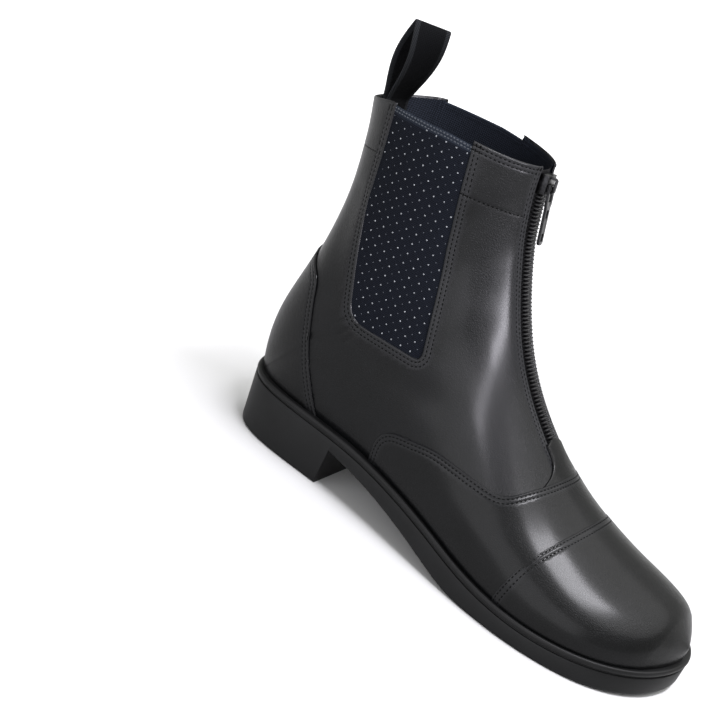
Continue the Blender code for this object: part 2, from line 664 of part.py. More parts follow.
OVERLAYS = (
    {"name": "vamp", "skin": leather_vamp, "edge": VAMP_EDGE, "out": OVERLAY_OUT, "rows": (4, 18)},
    {"name": "toe_cap", "skin": leather_cap, "edge": CAP_EDGE, "out": CAP_OUT, "rows": (0, 12)},
    {"name": "counter", "skin": leather_counter, "edge": COUNTER_EDGE, "out": OVERLAY_OUT, "rows": (15, 34)},
)
cap_clear = prism("cap_clear", rounded(CAP_EDGE, -FIT_GAP), -95.0, 95.0)
for overlay in OVERLAYS:
    rows = GRID_T[slice(*overlay["rows"])]
    thick = overlay["out"] - BASE_OUT - FIT_GAP
    piece = shell(overlay["name"], overlay["skin"], rows, all_v, overlay["out"], thick)
    boolean(piece, "DIFFERENCE", seat_cutter)
    boolean(piece, "INTERSECT", prism(overlay["name"] + "_edge", rounded(overlay["edge"]), -95.0, 95.0))
    if overlay["name"] == "vamp":
        boolean(piece, "DIFFERENCE", cap_clear)

tape_t = np.linspace(zip_end_t - 0.5, ridge_t_where(2, SLIDER_TOP_Z, 20.0, 28.0), 24)
shell("zip_tape", tape_cloth, tape_t, np.linspace(*TAPE_V, 5), TAPE_OUT, TAPE_THICK)

slider_t = ridge_t_where(2, SLIDER_TOP_Z - SLIDER_LENGTH / 2, 14.0, 28.0)
slider_at, slider_down, slider_normal = ridge_frame(slider_t)
teeth_end = slider_at + slider_down * (SLIDER_LENGTH / 2 + FIT_GAP)
teeth_t = np.linspace(zip_end_t + 0.1, ridge_t_where(2, teeth_end[2], 10.0, slider_t), 22)
teeth_side = strip_outline(teeth_t, TAPE_OUT + FIT_GAP, TEETH_OUT)
prism("zip_teeth", teeth_side, -TEETH_HALF, TEETH_HALF, teeth_plastic)

make_slider(slider_metal, slider_at, slider_down, slider_normal)
pin_at = slider_at + slider_normal * (SLIDER_OUT + FIT_GAP + TAB_PIN_R)
tab_down = np.array([math.sin(TAB_LEAN), 0.0, -math.cos(TAB_LEAN)])
tab_normal = np.array([math.cos(TAB_LEAN), 0.0, math.sin(TAB_LEAN)])
make_tab(tab_metal, pin_at, tab_down, tab_normal)
make_loop(webbing)
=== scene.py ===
import math

import bmesh
import bpy
import numpy as np
from mathutils import Matrix, Vector


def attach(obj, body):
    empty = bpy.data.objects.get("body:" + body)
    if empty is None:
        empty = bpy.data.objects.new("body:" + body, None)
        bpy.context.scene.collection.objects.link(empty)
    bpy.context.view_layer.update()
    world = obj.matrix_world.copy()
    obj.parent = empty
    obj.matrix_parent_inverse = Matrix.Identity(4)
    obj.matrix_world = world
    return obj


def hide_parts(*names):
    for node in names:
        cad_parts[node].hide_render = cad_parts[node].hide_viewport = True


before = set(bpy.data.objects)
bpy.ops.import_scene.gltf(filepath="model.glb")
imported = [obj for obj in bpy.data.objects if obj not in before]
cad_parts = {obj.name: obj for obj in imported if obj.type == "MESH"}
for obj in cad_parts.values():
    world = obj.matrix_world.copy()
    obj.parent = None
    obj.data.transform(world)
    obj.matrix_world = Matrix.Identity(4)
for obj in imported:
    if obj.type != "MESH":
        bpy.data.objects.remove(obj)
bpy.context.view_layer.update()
print("frame loaded")

mm = 0.001
rowOrigin = np.array([141.203, -3.844, 0.0])  # the tables measure from the back of the heel, in mm

# the last, one row per section from the toe round the heel to above the collar
lastColumns = (
    "baseX", "baseZ", "ridgeX", "ridgeZ", "featherLat", "featherMed",
    "wideLat", "wideMed", "axisY", "wideAt", "roundLow", "roundTop",
)
lastTable = np.array([
    (280.2, 18.0, 282.2, 22.4, 0.0, 0.0, 0.0, 0.0, 5.0, 0.40, 2.0, 2.10),
    (276.8, 17.6, 275.2, 31.4, 17.0, 15.5, 18.0, 16.0, 5.0, 0.30, 2.0, 2.10),
    (269.8, 16.7, 269.2, 39.4, 31.0, 28.0, 33.0, 28.5, 4.8, 0.26, 2.0, 2.05),
    (259.3, 15.7, 258.9, 43.5, 42.0, 36.0, 44.5, 37.0, 4.4, 0.24, 2.0, 1.90),
    (246.0, 14.7, 246.8, 46.8, 49.5, 40.0, 52.0, 41.5, 3.6, 0.22, 2.0, 1.88),
    (228.0, 13.6, 230.0, 50.8, 53.5, 42.0, 56.0, 43.5, 2.6, 0.21, 2.0, 1.88),
    (208.0, 13.2, 212.3, 57.0, 54.5, 43.0, 57.0, 45.0, 1.6, 0.20, 2.0, 1.88),
    (186.0, 14.8, 194.0, 65.0, 52.0, 40.5, 55.0, 43.5, 0.8, 0.20, 2.0, 1.93),
    (162.0, 19.2, 178.1, 76.0, 47.0, 35.5, 51.0, 40.5, 0.3, 0.21, 2.0, 1.95),
    (138.0, 24.6, 162.4, 88.6, 42.0, 31.0, 46.5, 39.0, 0.0, 0.24, 2.0, 1.98),
    (112.0, 29.2, 147.9, 102.5, 37.0, 27.0, 42.5, 37.0, 0.0, 0.29, 2.0, 2.00),
    (86.0, 32.0, 135.5, 118.0, 33.0, 27.0, 39.5, 36.5, 0.0, 0.35, 2.0, 2.05),
    (60.0, 33.0, 126.0, 134.5, 31.8, 29.0, 38.0, 36.5, 0.0, 0.41, 2.0, 2.10),
    (38.0, 33.2, 118.9, 149.0, 30.5, 29.0, 37.5, 36.5, 0.0, 0.46, 2.0, 2.15),
    (20.5, 33.0, 114.4, 159.6, 26.3, 25.3, 37.2, 36.5, 0.0, 0.49, 2.0, 2.20),
    (11.0, 31.0, 111.6, 167.0, 19.0, 18.5, 37.0, 36.5, 0.0, 0.50, 2.0, 2.20),
    (6.0, 28.0, 109.9, 173.0, 9.5, 9.3, 37.0, 36.5, 0.0, 0.50, 2.0, 2.20),
    (4.5, 24.0, 108.5, 179.0, 0.0, 0.0, 37.0, 36.5, 0.0, 0.50, 2.0, 2.20),
    (1.8, 36.0, 107.3, 184.0, 0.0, 0.0, 37.0, 36.5, 0.0, 0.50, 2.1, 2.20),
    (-0.6, 50.0, 106.4, 188.5, 0.0, 0.0, 37.0, 36.5, 0.0, 0.50, 2.1, 2.20),
    (-0.4, 66.0, 105.7, 192.0, 0.0, 0.0, 37.0, 36.5, 0.0, 0.50, 2.1, 2.20),
    (3.2, 84.0, 105.2, 195.0, 0.0, 0.0, 37.0, 36.5, 0.0, 0.50, 2.2, 2.20),
    (6.8, 102.0, 104.8, 197.5, 0.0, 0.0, 37.0, 36.5, 0.0, 0.50, 2.2, 2.20),
    (8.8, 120.0, 104.5, 199.5, 0.0, 0.0, 37.0, 36.3, 0.0, 0.50, 2.2, 2.20),
    (9.4, 140.0, 104.3, 201.3, 0.0, 0.0, 37.0, 35.8, 0.0, 0.50, 2.2, 2.20),
    (8.2, 160.0, 104.1, 202.8, 0.0, 0.0, 37.0, 34.6, 0.0, 0.50, 2.2, 2.20),
    (4.8, 178.0, 104.0, 204.0, 0.0, 0.0, 37.0, 32.8, 0.0, 0.50, 2.2, 2.20),
    (-0.2, 196.0, 103.9, 207.0, 0.0, 0.0, 37.0, 30.8, 0.0, 0.50, 2.2, 2.20),
    (-4.8, 212.0, 103.8, 218.0, 0.0, 0.0, 37.0, 29.0, 0.0, 0.50, 2.2, 2.20),
])
lastForm = {"closedRow": 18.0, "widestV": 0.22, "tuck": math.radians(35.0), "seatDrop": 2.0, "seatLap": 0.5}
lastEnd = len(lastTable) - 1.0

# top and underside of the sole along the boot
soleColumns = ("x", "top", "underside")
soleTable = np.array([
    (-8.0, 33.4, 26.0), (20.0, 33.4, 26.0), (40.0, 33.3, 25.0), (60.0, 33.0, 23.0), (86.0, 32.0, 20.0),
    (112.0, 29.0, 15.6), (138.0, 24.4, 9.0), (158.0, 19.6, 2.6), (172.0, 16.6, 0.0), (190.0, 14.4, 0.0),
    (210.0, 13.4, 0.0), (228.0, 13.6, 0.0), (242.0, 14.4, 0.0), (256.0, 15.4, 0.4), (270.0, 16.6, 1.4),
    (280.0, 17.6, 2.6), (290.0, 18.6, 4.0),
])

# side outlines: x, z and the radius that rounds the corner
sideOutlines = {
    "vamp": (
        (94.5, 20.0, 0), (94.5, 52.0, 15), (128.0, 60.0, 60), (170.5, 58.2, 14), (187.0, 72.3, 0),
        (196.0, 92.0, 0), (320.0, 92.0, 0), (320.0, -10.0, 0), (94.5, -10.0, 0),
    ),
    "cap": (
        (192.6, -10.0, 0), (192.6, 18.0, 20), (198.0, 43.0, 60), (211.5, 62.0, 0),
        (225.0, 92.0, 0), (320.0, 92.0, 0), (320.0, -10.0, 0),
    ),
    "counter": (
        (-30.0, -10.0, 0), (58.0, -10.0, 0), (58.0, 30.0, 0), (37.0, 62.0, 80), (24.0, 100.0, 14),
        (4.0, 111.0, 0), (-30.0, 113.0, 0),
    ),
    "gusset": (
        (21.7, 230.0, 0), (32.0, 150.0, 90), (52.0, 92.5, 12), (97.8, 93.8, 4), (82.3, 153.5, 150),
        (68.5, 230.0, 0),
    ),
    "collar": (
        (-30.0, 192.0, 0), (0.0, 194.6, 0), (22.0, 203.0, 40), (62.0, 207.4, 60), (106.0, 206.8, 0),
        (140.0, 206.4, 0), (140.0, 260.0, 0), (-30.0, 260.0, 0),
    ),
    "gussetTop": (
        (0.0, 198.0, 0), (22.0, 201.6, 0), (60.0, 204.6, 60), (106.0, 204.6, 0),
        (106.0, 260.0, 0), (0.0, 260.0, 0),
    ),
}


def smoothRise(value, low, high):
    share = np.clip((value - low) / (high - low), 0.0, 1.0)
    return share * share * (3 - 2 * share)


def blendRows(rows, t, before=None):
    t = np.clip(np.asarray(t, float), 0.0, len(rows) - 1 - 1e-9)
    first = np.floor(t).astype(int)
    u = (t - first)[..., None]
    before = 2 * rows[0] - rows[1] if before is None else before
    padded = np.vstack([before, rows, 2 * rows[-1] - rows[-2]])
    weights = ((1 - u) ** 3, 3 * u**3 - 6 * u**2 + 4, -3 * u**3 + 3 * u**2 + 3 * u + 1, u**3)
    return sum(w * padded[first + k] for k, w in enumerate(weights)) / 6


def lastRow(t):
    mirrored = lastTable[1] * [-1.0 if name.endswith(("Lat", "Med")) else 1.0 for name in lastColumns]
    values = blendRows(lastTable, t, mirrored)
    return {name: values[..., k] for k, name in enumerate(lastColumns)}


def lastPoint(t, v):
    t, v = np.broadcast_arrays(np.asarray(t, float), np.asarray(v, float))
    row = lastRow(t)
    lateral = v <= 0.5
    half = np.where(lateral, v, 1.0 - v)
    feather = np.maximum(np.where(lateral, row["featherLat"], row["featherMed"]), 0.0)
    wide = np.where(lateral, row["wideLat"], row["wideMed"])
    share = np.where(wide > 1e-6, np.clip(1.25 * feather / np.maximum(wide, 1e-6), 0.0, 1.0), 1.0)
    share = share * share * (3 - 2 * share)
    tuck, widest = lastForm["tuck"] * share, lastForm["widestV"]
    low = tuck + (math.pi / 2 - tuck) * np.clip(half / widest, 0.0, 1.0)
    top = np.clip((half - widest) / (0.5 - widest), 0.0, 1.0) * math.pi / 2
    power = 2 / row["roundLow"]
    sine, cosine = np.sin(tuck) ** power, np.cos(tuck) ** power
    yLow = feather + (wide - feather) * (np.sin(low) ** power - sine) / (1 - sine)
    riseLow = row["wideAt"] * (1 - np.maximum(np.cos(low), 0.0) ** power / cosine)
    power = 2 / row["roundTop"]
    yTop = wide * np.maximum(np.cos(top), 0.0) ** power
    riseTop = row["wideAt"] + (1 - row["wideAt"]) * np.sin(top) ** power
    y = np.where(half < widest, yLow, yTop)
    rise = np.where(half < widest, riseLow, riseTop)
    baseZ = row["baseZ"] - lastForm["seatDrop"] * share
    x = row["baseX"] + (row["ridgeX"] - row["baseX"]) * rise
    z = baseZ + (row["ridgeZ"] - baseZ) * rise
    return np.stack([x, row["axisY"] + np.where(lateral, -y, y), z], -1)


def lastNormal(t, v):
    stepT, stepV = 0.02, 0.002
    along = lastPoint(np.minimum(t + stepT, lastEnd), v) - lastPoint(np.maximum(t - stepT, 0.0), v)
    near = np.clip(v, stepV, 1.0 - stepV)
    around = lastPoint(t, near + stepV) - lastPoint(t, near - stepV)
    normal = np.cross(around, along)
    seam = (t >= lastForm["closedRow"]) & ((v < 1e-9) | (v > 1 - 1e-9))
    normal[seam, 1] = 0.0
    nose = t < 1e-6
    side = np.clip(np.minimum(v, 1.0 - v), stepV, 0.5 - stepV)
    upright = lastPoint(t, side + stepV) - lastPoint(t, side - stepV)
    normal[nose] = np.stack([upright[nose, 2], 0 * upright[nose, 1], -upright[nose, 0]], -1)
    return normal / np.maximum(np.linalg.norm(normal, axis=-1, keepdims=True), 1e-9)


def profileAt(x, column):
    fine = blendRows(soleTable, np.linspace(0, len(soleTable) - 1, 400))
    return np.interp(x, fine[:, 0], fine[:, soleColumns.index(column)])


def ridgeFrame(t):
    here = lastPoint(t, 0.5)
    down = lastPoint(t - 0.02, 0.5) - here
    down[1] = 0.0
    down = down / np.linalg.norm(down)
    return here, down, np.array([-down[2], 0.0, down[0]])


def ridgeWhere(column, value, low, high):
    for _ in range(40):
        middle = (low + high) / 2
        if (lastPoint(middle, 0.5)[column] - value) * (lastPoint(low, 0.5)[column] - value) <= 0:
            high = middle
        else:
            low = middle
    return (low + high) / 2


def inRow(points):
    return (np.asarray(points, float) - rowOrigin) * mm


def roundedOutline(corners, steps=10):
    points = [Vector(c[:2]) for c in corners]
    outline = []
    for k, here in enumerate(points):
        back, ahead = points[k - 1] - here, points[(k + 1) % len(points)] - here
        radius = corners[k][2]
        if radius <= 0:
            outline.append(here)
            continue
        reach = min(radius / math.tan(back.angle(ahead) / 2), 0.48 * back.length, 0.48 * ahead.length)
        start, end = here + back.normalized() * reach, here + ahead.normalized() * reach
        for step in range(steps + 1):
            u = step / steps
            outline.append((1 - u) ** 2 * start + 2 * u * (1 - u) * here + u**2 * end)
    return np.array([tuple(p) for p in outline])


outlinePoints = {name: roundedOutline(corners) for name, corners in sideOutlines.items()}


def outlineDistance(outline, flat):
    # distance to a closed outline, positive inside
    nearest = np.full(len(flat), 1e9)
    inside = np.zeros(len(flat), bool)
    x, z = flat[:, 0], flat[:, 1]
    for (ax, az), (bx, bz) in zip(outline, np.roll(outline, -1, axis=0)):
        dx, dz = bx - ax, bz - az
        u = np.clip(((x - ax) * dx + (z - az) * dz) / (dx * dx + dz * dz + 1e-12), 0.0, 1.0)
        nearest = np.minimum(nearest, (x - ax - u * dx) ** 2 + (z - az - u * dz) ** 2)
        if dz:
            inside ^= ((az > z) != (bz > z)) & (x < ax + (z - az) * dx / dz)
    return np.where(inside, 1.0, -1.0) * np.sqrt(nearest)


def sideField(name):
    return lambda points: outlineDistance(outlinePoints[name], points[:, [0, 2]])


vampField, capField, counterField = sideField("vamp"), sideField("cap"), sideField("counter")
gussetField, collarField, gussetTopField = sideField("gusset"), sideField("collar"), sideField("gussetTop")

zipShape = {
    "slotHalf": 6.2, "topHalf": 8.2, "topFrom": 150.0, "topTo": 200.0,
    "endX": 171.0, "frontX": 75.0, "toeX": 194.0,
}


def zipHalf(points):
    wide = smoothRise(points[:, 2], zipShape["topFrom"], zipShape["topTo"])
    return zipShape["slotHalf"] + (zipShape["topHalf"] - zipShape["slotHalf"]) * wide


def zipField(points):
    # positive in the gap between the two front edges
    across = zipHalf(points) - np.abs(points[:, 1])
    return np.minimum(np.minimum(across, points[:, 0] - zipShape["frontX"]), zipShape["toeX"] - points[:, 0])


def seatField(points):
    return points[:, 2] - profileAt(points[:, 0], "top") + lastForm["seatLap"]


# a skin is a triangle sheet on the last, kept as (t, v) so that it can be cut along any line drawn on it
def evenSections(start, end, step):
    fine = np.linspace(start, end, 900)
    reach = np.zeros(len(fine) - 1)
    for v in (0.02, 0.25, 0.5, 0.75):
        reach = np.maximum(reach, np.linalg.norm(np.diff(lastPoint(fine, v), axis=0), axis=1))
    length = np.concatenate([[0.0], np.cumsum(reach)])
    return np.interp(np.linspace(0, length[-1], int(length[-1] / step) + 2), length, fine)


def gridSkin(tValues, vValues, place=lastPoint, normal=lastNormal):
    t, v = np.meshgrid(tValues, vValues, indexing="ij")
    index = np.arange(t.size).reshape(t.shape)
    a, b, d, e = index[:-1, :-1], index[:-1, 1:], index[1:, :-1], index[1:, 1:]
    lateral = np.broadcast_to(vValues[:-1] < 0.5 - 1e-9, a.shape)[..., None]
    one = np.where(lateral, np.stack([a, b, d], -1), np.stack([a, b, e], -1))
    two = np.where(lateral, np.stack([b, e, d], -1), np.stack([a, e, d], -1))
    border = np.zeros(t.shape, bool)
    border[[0, -1], :] = True
    border[:, [0, -1]] = True
    return {
        "t": t.ravel(), "v": v.ravel(), "locked": border.ravel(), "row": np.full(t.size, -1),
        "faces": np.concatenate([one.reshape(-1, 3), two.reshape(-1, 3)]), "place": place, "normal": normal,
    }


def skinPoints(skin):
    return skin["place"](skin["t"], skin["v"])


def skinNormals(skin):
    return skin["normal"](skin["t"], skin["v"])


def reach(skin, field):
    # the field's distance, measured along the skin and not in the side view
    points, normals = skinPoints(skin), skinNormals(skin)
    value, step = field(points), 0.05
    slope = np.stack([field(points + step * axis) - value for axis in np.eye(3)], -1) / step
    slope = slope - (slope * normals).sum(axis=1, keepdims=True) * normals
    return value / np.clip(np.linalg.norm(slope, axis=1), 0.45, 3.0)


def edgePairs(faces):
    pairs = np.concatenate([faces[:, [0, 1]], faces[:, [1, 2]], faces[:, [2, 0]]])
    return np.unique(np.sort(pairs, axis=1), axis=0)


def splitAlong(skin, field, levels, rows=None, slide=0.16):
    # adds edges along the lines where field equals each level; rows numbers the lines that carry stitches
    value = reach(skin, field)
    for level in levels:
        gap = value - level
        faces = skin["faces"]
        pairs = edgePairs(faces)
        crossing = pairs[gap[pairs[:, 0]] * gap[pairs[:, 1]] < 0]
        a, b = crossing[:, 0], crossing[:, 1]
        share = gap[a] / (gap[a] - gap[b])
        onLine = np.abs(gap) < 1e-9
        for end, other, near in ((a, b, share), (b, a, 1 - share)):  # slides close points on to the line
            close = (near < slide) & ~skin["locked"][end]
            moved, first = np.unique(end[close], return_index=True)
            to, part = other[close][first], near[close][first]
            free = ~onLine[moved]
            moved, to, part = moved[free], to[free], part[free]
            newT = skin["t"][moved] + part * (skin["t"][to] - skin["t"][moved])
            newV = skin["v"][moved] + part * (skin["v"][to] - skin["v"][moved])
            skin["t"][moved], skin["v"][moved] = newT, newV
            gap[moved], value[moved], onLine[moved] = 0.0, level, True
        crossing = pairs[gap[pairs[:, 0]] * gap[pairs[:, 1]] < 0]
        a, b = crossing[:, 0], crossing[:, 1]
        share = gap[a] / (gap[a] - gap[b])
        count = len(skin["t"])
        label = -1 if rows is None or level not in rows else rows[level]
        kept = np.where(skin["row"][a] == skin["row"][b], skin["row"][a], -1)
        for key in ("t", "v"):
            skin[key] = np.concatenate([skin[key], skin[key][a] + share * (skin[key][b] - skin[key][a])])
        skin["locked"] = np.concatenate([skin["locked"] | onLine, np.ones(len(a), bool)])
        old, new = np.where(onLine & (label >= 0), label, skin["row"]), np.where(label >= 0, label, kept)
        skin["row"] = np.concatenate([old, new])
        value = np.concatenate([value, np.full(len(a), level)])
        keys = a * np.int64(count) + b  # pairs are sorted, so the keys are too
        corner = np.sort(np.stack([faces, np.roll(faces, -1, axis=1)], -1), axis=-1)
        wanted = corner[..., 0] * np.int64(count) + corner[..., 1]
        spot = np.clip(np.searchsorted(keys, wanted), 0, max(len(keys) - 1, 0))
        cut = np.where(keys[spot] == wanted, count + spot, -1) if len(keys) else np.full(wanted.shape, -1)
        number = (cut >= 0).sum(axis=1)
        made = [faces[number == 0]]
        for k in range(3):
            i, j, m = faces[:, k], faces[:, (k + 1) % 3], faces[:, (k + 2) % 3]
            p, q = cut[:, k], cut[:, (k + 2) % 3]
            both = (number == 2) & (p >= 0) & (q >= 0)
            made += [np.stack(c, -1)[both] for c in ((i, p, q), (p, j, m), (p, m, q))]
            single = (number == 1) & (p >= 0)
            made += [np.stack(c, -1)[single] for c in ((i, p, m), (p, j, m))]
        skin["faces"] = np.concatenate(made)


def keepWhere(skin, field, level=0.0):
    splitAlong(skin, field, [level])
    value = reach(skin, field) - level
    skin["faces"] = skin["faces"][value[skin["faces"]].mean(axis=1) > 0]


def linkObject(name, data):
    obj = bpy.data.objects.new(name, data)
    bpy.context.scene.collection.objects.link(obj)
    return obj


def editMesh(mesh, change):
    bm = bmesh.new()
    bm.from_mesh(mesh)
    change(bm)
    bm.to_mesh(mesh)
    bm.free()


def faceOutwards(mesh):
    editMesh(mesh, lambda bm: bmesh.ops.recalc_face_normals(bm, faces=bm.faces))


def joinPoints(bm):
    bmesh.ops.remove_doubles(bm, verts=bm.verts, dist=2e-6)
    bmesh.ops.dissolve_degenerate(bm, edges=bm.edges, dist=1e-7)


def bandFaces(rings, count):
    # four-sided faces between closed rings of points
    faces = []
    for k in range(rings - 1):
        for a in range(count):
            b = (a + 1) % count
            faces.append((k * count + a, k * count + b, (k + 1) * count + b, (k + 1) * count + a))
    return faces


def linkMesh(name, points, faces, materials, attributes=None):
    used, index = np.unique(np.asarray(faces), return_inverse=True)
    mesh = bpy.data.meshes.new(name)
    mesh.from_pydata(inRow(points[used]).tolist(), [], index.reshape(np.shape(faces)).tolist())
    for key, values in (attributes or {}).items():
        layer = mesh.attributes.new(key, "FLOAT", "POINT")
        layer.data.foreach_set("value", np.asarray(values, np.float32)[used])
    for material in materials:
        mesh.materials.append(material)
    editMesh(mesh, joinPoints)
    return linkObject(name, mesh)


def smoothFaces(mesh, sharp):
    mesh.shade_smooth()
    mesh.set_sharp_from_angle(angle=math.radians(sharp))


def settle(obj, sharp=50.0):
    # modifiers become plain mesh, with smooth faces and sharp edges
    graph = bpy.context.evaluated_depsgraph_get()
    mesh = bpy.data.meshes.new_from_object(obj.evaluated_get(graph))
    old = obj.data
    obj.modifiers.clear()
    obj.data = mesh
    mesh.name = obj.name
    bpy.data.meshes.remove(old)
    smoothFaces(mesh, sharp)
    return obj


def thicken(obj, thickness, innerMaterial=0):
    wall = obj.modifiers.new("wall", "SOLIDIFY")
    wall.thickness = thickness * mm
    wall.offset = -1.0
    wall.use_quality_normals = True
    wall.material_offset = innerMaterial
    return settle(obj)


def ridePiece(obj, slotName, *nodes, body="boot"):
    if nodes:
        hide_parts(*nodes)
    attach(obj, body)
    print("piece", obj.name, sum(len(p.vertices) - 2 for p in obj.data.polygons), "triangles")
    return obj


# stitch rows are gathered from all the leather pieces and sewn in one go
stitchRuns = {kind: {"points": [], "outs": [], "edges": [], "count": 0} for kind in ("dark", "pale")}
furrow = {"depth": 0.2, "half": 0.6, "levels": (-1.0, -0.45, 0.0, 0.45, 1.0)}
lipLevels = (0.12, 0.4, 0.8)
noseRows = (0.02, 0.05, 0.09, 0.2, 0.3)
sharpCrease = {"under": 2.5, "levels": (-1.6, -0.8, -0.3)}  # narrow creases get edges of their own


def gatherRows(skin, points, normals, within, runs):
    pairs = edgePairs(skin["faces"])
    labels = skin["row"][pairs]
    pairs = pairs[(labels[:, 0] >= 0) & (labels[:, 0] == labels[:, 1])]
    middle, side = points[pairs].mean(axis=1), skin["row"][pairs[:, 0]]
    keep = np.ones(len(pairs), bool)
    for label, test in within.items():
        keep &= (side != label) | test(middle)
    used, index = np.unique(pairs[keep], return_inverse=True)
    runs["points"].append(points[used])
    runs["outs"].append(normals[used])
    runs["edges"].append(index.reshape(-1, 2) + runs["count"])
    runs["count"] += len(used)


def leatherPanel(name, spec, materials):
    # a sheet on the last: cut to its edges, rounded at them, furrowed under its stitch rows and creased
    tValues = evenSections(*spec["sections"], spec.get("step", 2.2))
    if spec["sections"][0] == 0.0:  # the round of the nose needs closer rows
        tValues = np.unique(np.concatenate([tValues, noseRows]))
    skin = gridSkin(tValues, np.linspace(*spec.get("across", (0.0, 1.0)), spec.get("columns", 121)))
    for field, level in spec["cuts"]:
        keepWhere(skin, field, level)
    for field in spec["lips"]:
        splitAlong(skin, field, lipLevels)
    within = {}
    for number, row in enumerate(spec.get("rows", ())):
        levels = [row["at"] + step for step in spec.get("furrow", furrow["levels"])]
        splitAlong(skin, row["field"], levels, {row["at"]: number})
        within[number] = row.get("within", lambda middle: np.ones(len(middle), bool))
    for crease in spec.get("creases", ()):
        if crease["width"] < sharpCrease["under"]:
            splitAlong(skin, creaseField(crease), [k * crease["width"] for k in sharpCrease["levels"]])
    points, normals = skinPoints(skin), skinNormals(skin)
    height, strip = np.full(len(points), spec["out"]), np.zeros(len(points))
    radius = lipLevels[-1]
    for field in spec["lips"]:
        away = reach(skin, field)
        near = np.clip(away, 0.0, radius)
        wide = spec.get("strip", 4.4)  # the band along the edges under the stitches is painted lighter: on leather a painted highlight on the raised seam, on the elastic the hem's paler tone
        strip = np.maximum(strip, 1.0 - smoothRise(away, wide, 1.4 * wide)) if wide else strip
        height -= spec.get("lipDrop", 1.0) * (radius - np.sqrt(radius**2 - (radius - near) ** 2))
    for number, row in enumerate(spec.get("rows", ())):
        away = (reach(skin, row["field"]) - row["at"]) / furrow["half"]
        height -= furrow["depth"] * np.exp(-(away**2)) * within[number](points)
    for crease in spec.get("creases", ()):
        away = creaseField(crease)(points) / crease["width"]
        height += crease["rise"] * np.exp(-(away**2)) * (points[:, 1] * crease["side"] >= 0)
    points = points + normals * height[:, None]
    gatherRows(skin, points, normals, within, stitchRuns[spec.get("thread", "dark")])
    sheet = linkMesh(name, points, skin["faces"], materials, {"strip": strip})
    if spec["sections"][0] == 0.0:
        editMesh(sheet.data, roundNose)
    return thicken(sheet, spec["thick"], len(materials) - 1)


def roundNose(bm, fromX=271.0, passes=24):
    # evens out the tip of the toe, where the sections meet in an upright line
    limit = inRow((fromX, 0.0, 0.0))[0]
    tip = [vert for vert in bm.verts if vert.co.x > limit and not vert.is_boundary]
    for _ in range(passes):
        bmesh.ops.smooth_vert(bm, verts=tip, factor=0.5, use_axis_x=True, use_axis_y=True, use_axis_z=True)


def creaseField(crease):
    # distance to a line of the side view, as a negative number
    path = np.array(crease["path"], float)

    def field(points):
        flat, nearest = points[:, [0, 2]], np.full(len(points), 1e9)
        for a, b in zip(path, path[1:]):
            u = np.clip(((flat - a) @ (b - a)) / ((b - a) @ (b - a)), 0.0, 1.0)
            nearest = np.minimum(nearest, np.linalg.norm(flat - a - u[:, None] * (b - a), axis=1))
        return -nearest

    return field


def outside(field):
    return lambda points: -field(points)


notGusset, notCollar = outside(gussetField), outside(collarField)
notZip, notCap = outside(zipField), outside(capField)
facingShape = {"frontZ": 180.5, "backZ": 174.0, "backX": 20.0, "backRise": 0.25}


def facingFront(points):
    return points[:, 2] - facingShape["frontZ"]


def facingBack(points):
    rise = facingShape["backRise"] * (points[:, 0] - facingShape["backX"])
    return points[:, 2] - facingShape["backZ"] - rise


# materials
def nodeGroup(name, sizes, outputs):
    group = bpy.data.node_groups.new(name, "ShaderNodeTree")
    group.interface.new_socket("Vector", in_out="INPUT", socket_type="NodeSocketVector")
    for label, value in sizes.items():
        socket = group.interface.new_socket(label, in_out="INPUT", socket_type="NodeSocketFloat")
        socket.default_value = value
    for label in outputs:
        group.interface.new_socket(label, in_out="OUTPUT", socket_type="NodeSocketFloat")
    return group, group.nodes.new("NodeGroupInput"), group.nodes.new("NodeGroupOutput")


def addNode(tree, kind, settings=None, **inputs):
    node = tree.nodes.new(kind)
    for key, value in (settings or {}).items():
        setattr(node, key, value)
    for key, value in inputs.items():
        socket = node.inputs[int(key[1:])] if key[0] == "i" and key[1:].isdigit() else node.inputs[key]
        if isinstance(value, bpy.types.NodeSocket):
            tree.links.new(value, socket)
        else:
            socket.default_value = value
    return node


def mathNode(tree, operation, *values):
    inputs = {"i%d" % k: value for k, value in enumerate(values)}
    return addNode(tree, "ShaderNodeMath", {"operation": operation}, **inputs).outputs[0]


def noiseNode(tree, vector, scale, detail, roughness=0.5):
    inputs = {"Vector": vector, "Scale": scale, "Detail": detail, "Roughness": roughness}
    return addNode(tree, "ShaderNodeTexNoise", **inputs).outputs[0]


def hemAndSheenValue(tree):
    return addNode(tree, "ShaderNodeAttribute", {"attribute_name": "strip"}).outputs["Fac"]


def spreadValue(tree, value, low, high):
    inputs = {"Value": value, "To Min": low, "To Max": high}
    return addNode(tree, "ShaderNodeMapRange", **inputs).outputs[0]


def rampNode(tree, value, low, high, fromColor, toColor):
    node = tree.nodes.new("ShaderNodeValToRGB")
    tree.links.new(value, node.inputs[0])
    for element, position, color in zip(node.color_ramp.elements, (low, high), (fromColor, toColor)):
        element.position = position
        element.color = (*color, 1)
    return node.outputs[0]


def paint(tree, shader, value, low, high, dark, light):
    tree.links.new(rampNode(tree, value, low, high, dark, light), shader.inputs["Base Color"])


def overlay(tree, shader, share, tone):
    # lays a second tone over what already goes to the base colour
    below = shader.inputs["Base Color"].links[0].from_socket
    mixed = addNode(tree, "ShaderNodeMix", {"data_type": "RGBA"}, i0=share, i6=below, i7=tone)
    tree.links.new(mixed.outputs[2], shader.inputs["Base Color"])


